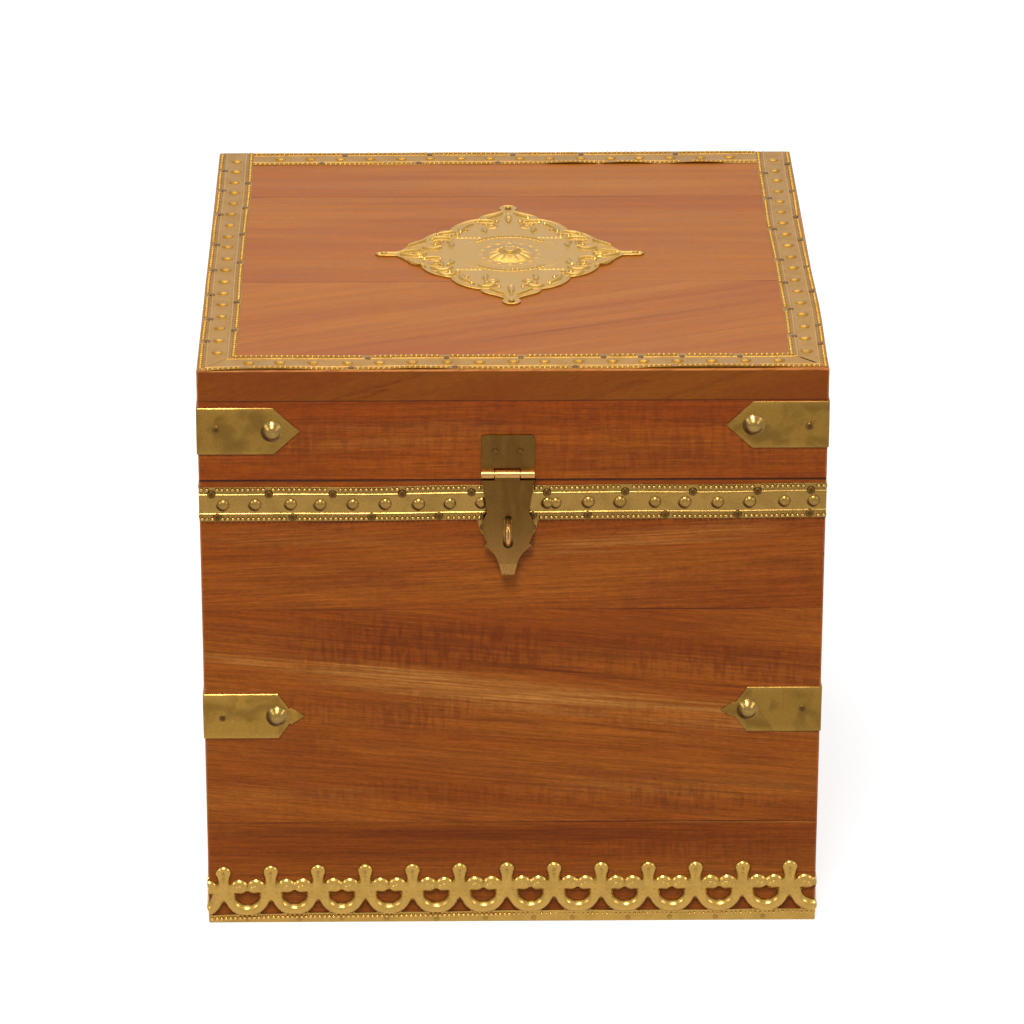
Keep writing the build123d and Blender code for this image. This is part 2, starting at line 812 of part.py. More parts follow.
with BuildPart() as hasp_leaf:
    with BuildSketch(front_plane(leaf_stand_off)):
        with BuildLine():
            for side in (-1, 1):
                Polyline(*leaf_edge(side))
                ThreePointArc(
                    leaf_point(side, notch_half_width, notch_depth),
                    leaf_point(side, belly_half_width, belly_depth),
                    leaf_point(side, lower_notch_half_width, lower_notch_depth),
                )
                Line(
                    leaf_point(side, lower_notch_half_width, lower_notch_depth),
                    leaf_point(side, barb_half_width, barb_depth),
                )
                ThreePointArc(
                    leaf_point(side, barb_half_width, barb_depth),
                    leaf_point(side, fold_bow_half_width, fold_bow_depth),
                    leaf_point(side, fold_half_width, fold_depth),
                )
            Line(
                leaf_point(-1, leaf_top_half_width, leaf_top_gap),
                leaf_point(1, leaf_top_half_width, leaf_top_gap),
            )
            Line(leaf_point(-1, fold_half_width, fold_depth), leaf_point(1, fold_half_width, fold_depth))
        make_face()
        with Locations((hasp_offset, (slot_top + slot_bottom) / 2)):
            SlotOverall(slot_top - slot_bottom, slot_width, rotation=90, mode=Mode.SUBTRACT)
    extrude(amount=leaf_thickness)
    # the bent tip, hinged about the fold line
    fold_plane = Plane(
        origin=(0, -half_depth - leaf_stand_off, hasp_z - fold_depth),
        x_dir=(1, 0, 0),
        z_dir=(0, -math.cos(math.radians(tip_angle)), math.sin(math.radians(tip_angle))),
    )
    with BuildSketch(fold_plane):
        with BuildLine():
            Polyline(
                (hasp_offset - fold_half_width, 0),
                (hasp_offset + fold_half_width, 0),
                (hasp_offset + tip_half_width, -tip_length),
                (hasp_offset - tip_half_width, -tip_length),
                close=True,
            )
        make_face()
    extrude(amount=leaf_thickness)
    # the neck that joins the leaf to its knuckle
    neck_top = front_plane(leaf_stand_off)
    with BuildSketch(neck_top):
        with Locations((hasp_middle_centre, hasp_z)):
            Rectangle(hasp_middle_knuckle, leaf_top_gap + margin, align=(Align.CENTER, Align.MAX))
    extrude(amount=leaf_thickness)
    rod_along_x(
        hasp_middle_start,
        hasp_middle_start + hasp_middle_knuckle,
        hasp_y,
        hasp_z,
        hasp_barrel_radius,
    )
    rod_along_x(
        hasp_middle_start - margin,
        hasp_middle_start + hasp_middle_knuckle + margin,
        hasp_y,
        hasp_z,
        hasp_pin_radius + pin_clearance,
        Mode.SUBTRACT,
    )
save(hasp_leaf, "hasp_leaf")

# ======== staple and its plate ========
with BuildPart() as staple:
    loop_radius = staple_leg_spacing / 2
    loop_y = -half_depth - staple_reach + staple_wire_radius + loop_radius
    leg_end_y = -half_depth + long_nail_length
    bow = [
        (
            hasp_offset,
            loop_y - loop_radius * math.sin(math.radians(angle)),
            staple_z + loop_radius * math.cos(math.radians(angle)),
        )
        for angle in [180 * n / staple_bow_facets for n in range(staple_bow_facets + 1)]
    ]
    with BuildLine():
        Polyline((hasp_offset, leg_end_y, staple_legs[1]), *bow, (hasp_offset, leg_end_y, staple_legs[0]))
    with BuildSketch(front_plane(-long_nail_length)):
        with Locations((hasp_offset, staple_legs[1])):
            RegularPolygon(staple_wire_radius, staple_wire_sides)
    sweep(transition=Transition.RIGHT)
save(staple, "staple")

with BuildPart() as staple_plate:
    with BuildSketch(front_plane()):
        with Locations((hasp_offset, ribbon_bottom)):
            Circle(staple_plate_radius)
        with Locations((hasp_offset, ribbon_bottom)):
            Rectangle(
                2 * staple_plate_radius + margin,
                staple_plate_radius + margin,
                align=(Align.CENTER, Align.MIN),
                mode=Mode.SUBTRACT,
            )
        with Locations(*[(hasp_offset, z) for z in staple_legs]):
            RegularPolygon(staple_wire_radius + pin_clearance, staple_wire_sides, mode=Mode.SUBTRACT)
        with Locations(*[(x, z) for _, x, z in plate_nail_places]):
            Rectangle(pin_hole_width, pin_hole_width, mode=Mode.SUBTRACT)
    extrude(amount=staple_plate_thickness)
save(staple_plate, "staple_plate")

with BuildPart() as staple_plate_nails:
    set_copies(small_nail, plate_nail_places, staple_plate_thickness)
save(staple_plate_nails, "staple_plate_nails")

# ======== medallion ========
tab_reach = medallion_depth / 2 - medallion_tab_radius
side_reach = medallion_width / 2 - medallion_tip_length


def medallion_outline():
    """A diamond whose sides are rows of shallow lobes, corner to corner."""
    corners = [(side_reach, 0), (0, tab_reach), (-side_reach, 0), (0, -tab_reach)]
    for start, end in zip(corners, corners[1:] + corners[:1]):
        run = Vector(end[0] - start[0], end[1] - start[1])
        outward = Vector(run.Y, -run.X).normalized()
        points = [Vector(*start) + run * (n / medallion_lobes) for n in range(medallion_lobes + 1)]
        for first, second in zip(points, points[1:]):
            ThreePointArc(first, (first + second) / 2 + outward * medallion_lobe_bow, second)


with BuildPart() as boss:
    frustum(0, boss_radius, boss_top_radius, boss_height, medallion_round_sides)

with BuildPart() as medallion:
    medallion_plane = Plane(origin=(medallion_x, medallion_y, box_height))
    with BuildSketch(medallion_plane):
        with BuildLine():
            medallion_outline()
        make_face()
        with Locations((0, -tab_reach), (0, tab_reach)):
            Circle(medallion_tab_radius)
        for side in (-1, 1):
            with BuildLine():
                Polyline(
                    (side * (side_reach - medallion_tip_half_width), medallion_tip_half_width),
                    (side * (medallion_width / 2 - medallion_tip_half_width), medallion_tip_half_width),
                    (side * medallion_width / 2, 0),
                    (side * (medallion_width / 2 - medallion_tip_half_width), -medallion_tip_half_width),
                    (side * (side_reach - medallion_tip_half_width), -medallion_tip_half_width),
                    close=True,
                )
            make_face()
        with Locations(*[(x - medallion_x, y - medallion_y) for x, y in medallion_pin_places]):
            Rectangle(pin_hole_width, pin_hole_width, mode=Mode.SUBTRACT)
    extrude(amount=medallion_thickness + medallion_rim_height)
    face_plane = medallion_plane.offset(medallion_thickness)
    with BuildSketch(face_plane) as sunk_field:
        field_x = side_reach - medallion_rim_width
        field_y = tab_reach - medallion_tab_radius
        with BuildLine():
            Polyline((field_x, 0), (0, field_y), (-field_x, 0), (0, -field_y), close=True)
        make_face()
    extrude(sunk_field.sketch, amount=medallion_rim_height + margin, mode=Mode.SUBTRACT)
    with BuildSketch(face_plane) as cartouche:
        RegularPolygon(cartouche_radius + cartouche_wire, medallion_round_sides)
        RegularPolygon(cartouche_radius, medallion_round_sides, mode=Mode.SUBTRACT)
    extrude(cartouche.sketch, amount=cartouche_wire)
    with Locations(face_plane):
        add(boss.part)
save(medallion, "medallion")

with BuildPart() as medallion_pins:
    with Locations(medallion_plane.offset(medallion_thickness + medallion_rim_height)):
        with Locations(*[(x - medallion_x, y - medallion_y) for x, y in medallion_pin_places]):
            add(small_nail.part)
save(medallion_pins, "medallion_pins")
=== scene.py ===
"""A damchiya chest: a small cubic hardwood box with a hinged box lid, bound with embossed brass.

Laid out as an add-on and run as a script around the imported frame. Metres, +Z up, front towards -Y.
"""

import math
import random
from functools import cached_property

import bpy
import numpy as np
from mathutils import Matrix, Vector
from mathutils.geometry import tessellate_polygon


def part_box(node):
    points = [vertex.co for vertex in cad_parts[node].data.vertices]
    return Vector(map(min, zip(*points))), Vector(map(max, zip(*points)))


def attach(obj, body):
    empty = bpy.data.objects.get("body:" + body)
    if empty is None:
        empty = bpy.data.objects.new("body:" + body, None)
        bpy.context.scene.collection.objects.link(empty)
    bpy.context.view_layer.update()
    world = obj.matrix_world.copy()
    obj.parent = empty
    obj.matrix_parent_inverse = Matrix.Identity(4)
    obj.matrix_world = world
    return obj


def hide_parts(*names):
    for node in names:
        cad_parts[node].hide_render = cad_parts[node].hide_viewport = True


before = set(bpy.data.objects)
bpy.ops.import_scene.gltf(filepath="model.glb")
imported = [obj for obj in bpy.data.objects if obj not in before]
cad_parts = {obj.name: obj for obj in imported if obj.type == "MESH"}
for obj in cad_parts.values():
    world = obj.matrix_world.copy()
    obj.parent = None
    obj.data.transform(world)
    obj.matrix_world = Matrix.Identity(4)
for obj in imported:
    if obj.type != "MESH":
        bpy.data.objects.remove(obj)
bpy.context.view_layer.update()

bl_info = {
    "name": "Damchiya chest",
    "version": (1, 0, 0),
    "blender": (4, 5, 0),
    "location": "View3D > Sidebar > Chest",
    "description": "Dresses the chest's frame in planed hardwood and embossed brass",
    "category": "Object",
}

MM = 0.001


def centre_of(node):
    """The middle of a CAD node's box."""
    return [(low + high) / 2 for low, high in zip(*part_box(node))]


# ---- places read from the frame ----
LEFT_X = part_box("front_board_lower")[0].x
RIGHT_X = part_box("front_board_lower")[1].x
FRONT_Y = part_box("front_board_lower")[0].y
BACK_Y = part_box("back_board_lower")[1].y
TOP_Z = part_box("lid_board_front")[1].z
SEAM_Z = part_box("front_board_upper")[1].z
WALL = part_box("front_board_lower")[1].y - FRONT_Y
LID_BOARD_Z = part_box("lid_board_front")[0].z
WIDTH = RIGHT_X - LEFT_X
DEPTH = BACK_Y - FRONT_Y


def tone(red, green, blue):
    """A colour as it looks on screen, from 0 to 255, turned into the linear values that shaders take."""

    def linear(channel):
        share = channel / 255
        return share / 12.92 if share <= 0.04045 else ((share + 0.055) / 1.055) ** 2.4

    return (linear(red), linear(green), linear(blue))


def blended(first, second, share=0.5):
    """The tone that lies share of the way from the first to the second."""
    return tuple(a + (b - a) * share for a, b in zip(first, second))


def scaled(colour, factor, lift=0.0):
    """A lighter or darker tone, with no channel past 1."""
    return tuple(min(1.0, factor * channel + lift) for channel in colour)


def colour_property(name, description, default):
    return bpy.props.FloatVectorProperty(
        name=name, description=description, subtype="COLOR", size=3, min=0, max=1, default=default
    )


def length_property(name, description, default):
    return bpy.props.FloatProperty(
        name=name, description=description, unit="LENGTH", precision=5, min=0, default=default
    )


def angle_property(name, description, default):
    return bpy.props.FloatProperty(
        name=name, description=description, subtype="ANGLE", precision=4, default=default
    )


def number_property(name, description, default, unit="NONE"):
    return bpy.props.FloatProperty(name=name, description=description, unit=unit, min=0, default=default)


# ======== settings ========
class ChestWood(bpy.types.PropertyGroup):
    """Tones and edges of the boards."""

    body_light: colour_property("Body light", "Light grain of the body's boards", tone(168, 92, 28))
    body_dark: colour_property("Body dark", "Dark grain of the body's boards", tone(141, 65, 13))
    body_gold: colour_property("Body gold", "Golden streaks of the middle board", tone(196, 132, 62))
    body_deep: colour_property("Body deep", "Darkest streaks", tone(96, 40, 12))
    lid_light: colour_property("Lid light", "Light grain of the lid's rails", tone(162, 84, 22))
    lid_dark: colour_property("Lid dark", "Dark grain of the lid's rails", tone(140, 61, 12))
    top_light: colour_property("Top light", "Light grain of the top", tone(172, 100, 22))
    top_dark: colour_property("Top dark", "Dark grain of the top", tone(156, 79, 14))
    raw: colour_property("Raw wood", "Unfinished wood inside", tone(178, 132, 86))
    arris: length_property("Arris", "Easing of the outer edges", 0.8 * MM)
    seam_ease: length_property("Seam easing", "Easing of the edges along the seam", 0.45 * MM)
    joint_ease: length_property("Joint easing", "Easing of the glued edges", 0.12 * MM)


class ChestBrass(bpy.types.PropertyGroup):
    """Tones of the brass work."""

    ribbon: colour_property("Ribbon", "Embossed ribbon of the body", tone(150, 116, 56))
    lid_ribbon: colour_property("Lid ribbon", "Embossed ribbon of the lid", tone(163, 117, 36))
    border: colour_property("Border", "Pierced border", tone(182, 143, 70))
    strap: colour_property("Strap", "Corner straps", tone(150, 113, 46))
    hasp: colour_property("Hasp", "Hasp, leaf and staple plate", tone(101, 70, 27))
    barrel: colour_property("Barrel", "Polished knuckles and staple", tone(176, 130, 70))
    nail: colour_property("Nail", "Domed nails", tone(144, 114, 59))
    medallion: colour_property("Medallion", "Lid medallion", tone(177, 136, 62))
    hinge: colour_property("Hinge", "Butt hinges", tone(170, 132, 62))
    tarnish: colour_property("Tarnish", "Brown film in the hollows", tone(80, 52, 18))


class ChestRibbon(bpy.types.PropertyGroup):
    """The embossed ribbon."""

    width: length_property("Width", "Width of the ribbon", 18.2 * MM)
    thickness: length_property("Thickness", "Height of its flat face over the wood", 0.4 * MM)
    bead_pitch: length_property("Bead pitch", "From bead to bead", 2.5 * MM)
    bead_radius: length_property("Bead radius", "Radius of a bead", 1.2 * MM)
    bead_line: length_property("Bead line", "From the centre line to a row of beads", 7.75 * MM)
    ridge_line: length_property("Ridge line", "From the centre line to a ridge", 5.1 * MM)
    dome_pitch: length_property("Dome pitch", "From dome to dome", 16.0 * MM)
    dome_radius: length_property("Dome radius", "Radius of a dome", 3.05 * MM)
    dome_height: length_property("Dome height", "How far a dome stands up", 1.75 * MM)
    wander: length_property("Wander", "How far the hand-laid strip strays", 0.35 * MM)


class ChestBorder(bpy.types.PropertyGroup):
    """The pierced border along the foot."""

    pitch: length_property("Pitch", "From ring to ring", 23.7 * MM)
    thickness: length_property("Thickness", "Height of its flat face over the wood", 0.5 * MM)
    ring_relief: length_property("Ring relief", "How far a ring bulges", 2.8 * MM)
    step: length_property("Step", "Fineness of the embossed sheet", 0.5 * MM)


class ChestMedallion(bpy.types.PropertyGroup):
    """The embossed diamond on the lid."""

    thickness: length_property("Thickness", "Height of its flat face over the wood", 0.7 * MM)
    relief: length_property("Relief", "How far the carving stands up", 1.3 * MM)
    step: length_property("Step", "Fineness of the embossed sheet", 0.45 * MM)


class ChestStage(bpy.types.PropertyGroup):
    """Camera, floor and lamps."""

    camera_place: bpy.props.FloatVectorProperty(
        name="Camera place",
        description="Where the camera stands",
        subtype="TRANSLATION",
        size=3,
        default=(-0.03473, -2.48537, 1.25046),
    )
    camera_pitch: angle_property("Camera pitch", "Downward tilt", 0.414238)
    camera_yaw: angle_property("Camera yaw", "Turn about the vertical", -0.0147124)
    camera_roll: angle_property("Camera roll", "Turn about the view", 0.00170165)
    camera_lens: number_property("Lens", "Focal length in millimetres", 183.92)
    floor: colour_property("Floor", "Colour of the floor", (0.45, 0.45, 0.45))
    floor_glow: number_property("Floor glow", "Keeps the floor white to the eye", 0.74)
    ambient: number_property("Ambient", "Soft light from all round", 0.36)
    key_power: number_property("Key", "Softbox in front", 21.0, "POWER")
    top_power: number_property("Top", "Softbox overhead, a little behind", 8.0, "POWER")
    side_power: number_property("Side", "Softbox at either side", 4.0, "POWER")
    back_power: number_property("Back", "Large panel behind", 1.5, "POWER")


# ======== materials ========
# darkness of the painted shadow along the seam between lid and body
SEAM_SHADOW = 0.92
GLUE_LINE = 0.7


class Value:
    """A socket of a recipe. Sums on it add Math nodes."""

    def __init__(self, recipe, socket):
        self.recipe = recipe
        self.socket = socket

    def __add__(self, other):
        return self.recipe.math("ADD", self, other)

    __radd__ = __add__

    def __sub__(self, other):
        return self.recipe.math("SUBTRACT", self, other)

    def __rsub__(self, other):
        return self.recipe.math("SUBTRACT", other, self)

    def __mul__(self, other):
        return self.recipe.math("MULTIPLY", self, other)

    __rmul__ = __mul__

    def __truediv__(self, other):
        return self.recipe.math("DIVIDE", self, other)

    def __rtruediv__(self, other):
        return self.recipe.math("DIVIDE", other, self)

    def __abs__(self):
        return self.recipe.math("ABSOLUTE", self, 0.0)

    def __lt__(self, other):
        return self.recipe.math("LESS_THAN", self, other)

    def __gt__(self, other):
        return self.recipe.math("GREATER_THAN", self, other)


class Recipe:
    """The nodes of one material, or of the world, being put together."""

    def __init__(self, owner):
        owner.use_nodes = True
        self.owner = owner
        self.tree = owner.node_tree
        self.tree.nodes.clear()

    @cached_property
    def place(self):
        """Where a point lies in its object."""
        return self.node("ShaderNodeTexCoord", output="Object")

    @cached_property
    def seen(self):
        """1 on the rays that the camera sees: straight, mirrored or through glass."""
        camera, glossy, glass = (
            self.node("ShaderNodeLightPath", output=ray)
            for ray in ("Is Camera Ray", "Is Glossy Ray", "Is Transmission Ray")
        )
        return self.math("MAXIMUM", camera, self.math("MAXIMUM", glossy, glass))

    def node(self, kind, settings=None, inputs=None, output=0):
        """Any node: its settings first, then the values or links of its sockets."""
        made = self.tree.nodes.new(kind)
        for setting, value in (settings or {}).items():
            setattr(made, setting, value)
        for socket, value in (inputs or {}).items():
            if isinstance(value, Value):
                self.tree.links.new(value.socket, made.inputs[socket])
            else:
                made.inputs[socket].default_value = value
        return Value(self, made.outputs[output]) if made.outputs else made

    def math(self, operation, first, second):
        return self.node("ShaderNodeMath", {"operation": operation}, {0: first, 1: second})

    def dot(self, direction):
        return self.node(
            "ShaderNodeVectorMath", {"operation": "DOT_PRODUCT"}, {0: self.place, 1: direction}, "Value"
        )

    def spread(self, value, low, high, to_low=0.0, to_high=1.0):
        """The value's stretch from low to high, brought softly to another stretch."""
        return self.node(
            "ShaderNodeMapRange",
            {"interpolation_type": "SMOOTHSTEP"},
            {0: value, 1: low, 2: high, 3: to_low, 4: to_high},
        )

    def noise(self, place, scale, detail=2.0, distortion=0.0, roughness=0.5):
        return self.node(
            "ShaderNodeTexNoise",
            inputs={
                "Vector": place,
                "Scale": scale,
                "Detail": detail,
                "Roughness": roughness,
                "Distortion": distortion,
            },
        )

    def mix(self, share, first, second, blend="MIX"):
        """Two colours, given as values or as three numbers each."""

        def full(colour):
            return colour if isinstance(colour, Value) else (*colour, 1.0)

        return self.node(
            "ShaderNodeMix",
            {"data_type": "RGBA", "blend_type": blend},
            {0: share, 6: full(first), 7: full(second)},
            2,
        )

    def bump(self, height, strength, distance):
        return self.node(
            "ShaderNodeBump", inputs={"Height": height, "Strength": strength, "Distance": distance}
        )

    def finish(self, **sockets):
        """The shader, its sockets named with underscores for spaces."""
        shader = self.node(
            "ShaderNodeBsdfPrincipled",
            inputs={name.replace("_", " "): value for name, value in sockets.items()},
        )
        self.node("ShaderNodeOutputMaterial", inputs={"Surface": shader})
        return self.owner


def planed_wood(
    name,
    tones,
    directions,
    seed,
    streaks=(),
    lines=(),
    figure=0.3,
    chatter=(),
    tilt=0.0,
    bold=1.0,
    edge_shade=0.0,
):
    """Straight-grained hardwood with a rippled figure, oiled outside and raw inside.

    tones are the light, dark, deep and raw colours. directions are along the grain, across it on
    the show face, and through the board. A streak is (place along, place across, slope, half
    length, half width, colour, strength). Lines are dark glue joints and the painted shadow of
    the seam: (axis, place, half width, strength). figure is how strongly the short cross ripple
    shows in patches of its own, and chatter is where it is set one by one, as a streak without a
    colour. tilt is how much the fine grain slopes down along the board, bold is how strongly its
    fine streaks stand out, and edge_shade is how much darker its outer edges are.
    """
    recipe = Recipe(bpy.data.materials.new(name))
    light, dark, deep, raw = tones
    along, across, through = (recipe.dot(direction) for direction in directions)

    def grain(length, width, detail=2.0, distortion=0.0, shift=0.0):
        place = recipe.node(
            "ShaderNodeCombineXYZ",
            inputs={
                0: along / length + shift,
                1: (across + along * tilt) / width,
                2: through / (width * 1.5) + seed,
            },
        )
        return recipe.noise(place, 1.0, detail, distortion)

    broad = grain(0.30, 0.030, 3.0, 0.5)
    streak = recipe.spread(grain(0.16, 0.0045, 4.0, 0.3, 7.0), 0.34, 0.66)
    line = recipe.spread(grain(0.10, 0.0013, 3.0, 0.25, 13.0), 0.52, 0.68)
    fine = grain(0.030, 0.0009, 3.0, 0.2, 3.0)
    fibre = grain(0.008, 0.0004, 3.0, 0.3, 11.0)
    wobble = (broad - 0.5) * 0.012 + (streak - 0.5) * 0.003

    def lying(place, position, slope, half_length, half_width):
        """How strongly a long slanting mark lies on each point."""
        run = along - place
        rise = abs(across + wobble - position - run * slope)
        ends = recipe.spread(abs(run), half_length, half_length * 0.45)
        return recipe.spread(rise, half_width, half_width * 0.15) * ends

    colour = recipe.mix(recipe.spread(broad, 0.34, 0.66) * 0.7 + 0.15, dark, light)
    colour = recipe.mix(streak * (0.20 * bold), colour, deep)
    thread = recipe.spread(grain(0.07, 0.0011, 3.0, 0.4, 31.0), 0.4, 0.6, 0.25, 1.0)
    for place, position, slope, half_length, half_width, mark, strength in streaks:
        mask = lying(place, position, slope, half_length, half_width) * (streak * 0.5 + 0.5) * thread
        colour = recipe.mix(mask * strength, colour, mark)
    colour = recipe.mix(line * (0.22 * bold), colour, deep)
    ripple = recipe.spread(grain(0.0024, 0.014, 3.0, 0.5, 5.0), 0.38, 0.66)
    zone = recipe.spread(grain(0.10, 0.014, 2.0, 0.5, 17.0), 0.46, 0.62) * figure
    for place, position, slope, half_length, half_width, strength in chatter:
        zone = zone + lying(place, position, slope, half_length, half_width) * strength
    colour = recipe.mix(ripple * zone, colour, blended(deep, dark, 0.45))
    shade = recipe.spread(fine, 0.3, 0.7, 1 - 0.2 * bold, 1 + 0.16 * bold)
    shade = shade * recipe.spread(fibre, 0.3, 0.7, 1 - 0.1 * bold, 1 + 0.08 * bold)
    fleck = grain(0.0035, 0.0011, 3.0, 0.4, 41.0)
    shade = shade * recipe.spread(fleck, 0.32, 0.68, 1 - 0.09 * bold, 1 + 0.08 * bold)
    pores = recipe.spread(grain(0.0022, 0.00045, 2.0, 0.3, 23.0), 0.60, 0.72)
    grey = recipe.node("ShaderNodeCombineColor", inputs={0: shade, 1: shade, 2: shade})
    colour = recipe.mix(1.0, colour, grey, "MULTIPLY")
    black = scaled(deep, 0.35)
    colour = recipe.mix(pores * (0.05 + 0.25 * bold), colour, black)
    x, y, z = (recipe.dot(axis) for axis in ((1, 0, 0), (0, 1, 0), (0, 0, 1)))
    # the outer edge faces of some boards are darker
    edges = recipe.math("MAXIMUM", abs(x) > WIDTH / 2 - 0.5 * MM, abs(y) > DEPTH / 2 - 0.5 * MM)
    colour = recipe.mix(edges * edge_shade, colour, deep)
    # rubbed edges show paler wood
    band = 1.4 * MM
    rubbed = (
        recipe.spread(abs(x), WIDTH / 2 - band, WIDTH / 2)
        + recipe.spread(abs(y), DEPTH / 2 - band, DEPTH / 2)
        + recipe.spread(z, TOP_Z - band, TOP_Z)
    )
    rubbed = recipe.spread(rubbed, 1.25, 1.7) * recipe.spread(streak + fine, 0.6, 1.1, 0.5, 1.0)
    colour = recipe.mix(rubbed * 0.6, colour, scaled(light, 1.5, 0.05))
    # painted shadow along the seam, and dark glue lines, both only near the outside faces
    at_sides, at_walls, at_top = (
        recipe.spread(from_middle, reach - 3 * MM, reach - 1 * MM)
        for from_middle, reach in ((abs(x), WIDTH / 2), (abs(y), DEPTH / 2), (z, TOP_Z))
    )
    outside = recipe.math("MAXIMUM", at_sides, recipe.math("MAXIMUM", at_walls, at_top))
    patchy = recipe.spread(recipe.noise(recipe.place, 14.0, 1.0), 0.40, 0.58, 0.25, 1.0)
    for axis, position, half_width, strength in lines:
        off = abs((x, y, z)[axis] - position)
        mask = recipe.spread(off, half_width, half_width * 0.55) * outside
        if strength < SEAM_SHADOW:
            mask = mask * patchy
        colour = recipe.mix(mask * strength, colour, black)
    skin = 0.3 * MM
    inside = (
        (abs(x) < WIDTH / 2 - WALL + skin)
        * (abs(y) < DEPTH / 2 - WALL + skin)
        * (z < LID_BOARD_Z + skin)
    )
    raw_colour = recipe.mix(1.0, recipe.mix(broad * 0.4, raw, light), grey, "MULTIPLY")
    return recipe.finish(
        Base_Color=recipe.mix(inside, colour, raw_colour),
        Roughness=recipe.spread(fine, 0.3, 0.7, 0.36, 0.5) + inside * 0.25,
        Specular_IOR_Level=0.12,
        Normal=recipe.bump(fine * 0.6 + fibre * 0.4 - pores * 0.8, 0.22, 0.12 * MM),
    )


def brass(
    name,
    base,
    tarnish,
    gloss=0.3,
    patch=0.35,
    patch_size=0.012,
    grain=0.25,
    depth=1.0,
    brushed=1.0,
    polish_and_highlight=1.5,
):
    """Worn brass: brown film in the hollows, crests brightened as rubbed metal and as a painted highlight,
    cloudy patches and fine scratches.

    gloss is the roughness, patch how strong the cloudy patches are, grain how strong the fine
    mottling is, depth how dark the hollows are, brushed how much the patches are drawn out
    upwards, and polish_and_highlight how much brighter a crest is, as rubbed metal and as a
    painted highlight.
    """
    recipe = Recipe(bpy.data.materials.new(name))
    wear_and_painted_light = recipe.node("ShaderNodeAttribute", {"attribute_name": "wear_and_painted_light"}, output="Fac")
    drawn = recipe.node(
        "ShaderNodeVectorMath", {"operation": "MULTIPLY"}, {0: recipe.place, 1: (1, 1, 1 / brushed)}
    )
    cloud = recipe.spread(recipe.noise(drawn, 1 / patch_size, 3.0, 0.6), 0.4, 0.66)
    mottle = recipe.noise(recipe.place, 900.0, 3.0)
    pit = recipe.noise(recipe.place, 2600.0, 2.0)
    film = blended(base, tarnish)
    colour = recipe.mix(cloud * patch, base, film)
    colour = recipe.mix(recipe.spread(mottle, 0.35, 0.7) * grain, colour, film)
    # low values give the brown film: tarnish in the hollows, and painted shade where a form sets it
    colour = recipe.mix(recipe.spread(wear_and_painted_light, 0.45, 0.05, 0.0, depth), colour, tarnish)
    # high values brighten crests: partly rubbed metal, partly a painted highlight
    colour = recipe.mix(recipe.spread(wear_and_painted_light, 0.58, 1.0, 0.0, 0.8), colour, scaled(base, polish_and_highlight, 0.015))
    return recipe.finish(
        Base_Color=colour,
        Metallic=0.92,
        Roughness=recipe.spread(mottle, 0.3, 0.7, gloss - 0.05, gloss + 0.1) + cloud * 0.08,
        Normal=recipe.bump(mottle * 0.7 + pit * 0.3, 0.35, 0.08 * MM),
    )


# ======== forms ========
def face_matrix(face):
    """From a face's own s, t and outward n to the chest's frame; each face is seen from outside."""
    across, up, out, origin = {
        "front": ((1, 0, 0), (0, 0, 1), (0, -1, 0), (0, FRONT_Y, 0)),
        "back": ((-1, 0, 0), (0, 0, 1), (0, 1, 0), (0, BACK_Y, 0)),
        "left": ((0, -1, 0), (0, 0, 1), (-1, 0, 0), (LEFT_X, 0, 0)),
        "right": ((0, 1, 0), (0, 0, 1), (1, 0, 0), (RIGHT_X, 0, 0)),
        "top": ((1, 0, 0), (0, 1, 0), (0, 0, 1), (0, 0, TOP_Z)),
    }[face]
    turn = Matrix((across, up, out)).transposed().to_4x4()
    return Matrix.Translation(origin) @ turn


def along_matrix(face, offset, turn=0.0):
    """A face's frame moved to offset (s, t, n) and turned about n."""
    return face_matrix(face) @ Matrix.Translation(offset) @ Matrix.Rotation(turn, 4, "Z")


PLAIN_WEAR = 0.5


def placed(name, data):
    """A new object in the scene."""
    made = bpy.data.objects.new(name, data)
    bpy.context.scene.collection.objects.link(made)
    return made


class Shell:
    """Points and faces of one piece, gathered from several forms."""

    def __init__(self):
        self.points = []
        self.wear_and_painted_light = []
        self.faces = []
        self.count = 0

    def add(self, points, faces, wear_and_painted_light=PLAIN_WEAR, matrix=None):
        points = np.asarray(points, float).reshape(-1, 3)
        if matrix is not None:
            turn = np.array(matrix.to_3x3())
            points = points @ turn.T + np.array(matrix.translation)
        first = self.count
        self.points.append(points)
        self.wear_and_painted_light.append(np.broadcast_to(np.asarray(wear_and_painted_light, float), (len(points),)))
        self.faces.extend([tuple(first + i for i in face) for face in faces])
        self.count += len(points)

    def add_form(self, form, matrix):
        self.add(form["points"], form["faces"], form["wear_and_painted_light"], matrix)

    def piece(self, name, body, material, slot, replaces=(), crease=35.0):
        """The finished object, riding on its body."""
        mesh = bpy.data.meshes.new(name)
        mesh.from_pydata(np.concatenate(self.points).tolist(), [], self.faces)
        mesh.attributes.new("wear_and_painted_light", "FLOAT", "POINT").data.foreach_set(
            "value", np.concatenate(self.wear_and_painted_light).astype(np.float32)
        )
        mesh.materials.append(material)
        mesh.shade_smooth()
        mesh.set_sharp_from_angle(angle=math.radians(crease))
        mesh.update()
        made = placed(name, mesh)
        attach(made, body)
        if replaces:
            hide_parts(*replaces)
        return made


def band_faces(low, high, count):
    """The faces between two rings of points, each given by the number of its first."""
    return [(low + n, low + (n + 1) % count, high + (n + 1) % count, high + n) for n in range(count)]


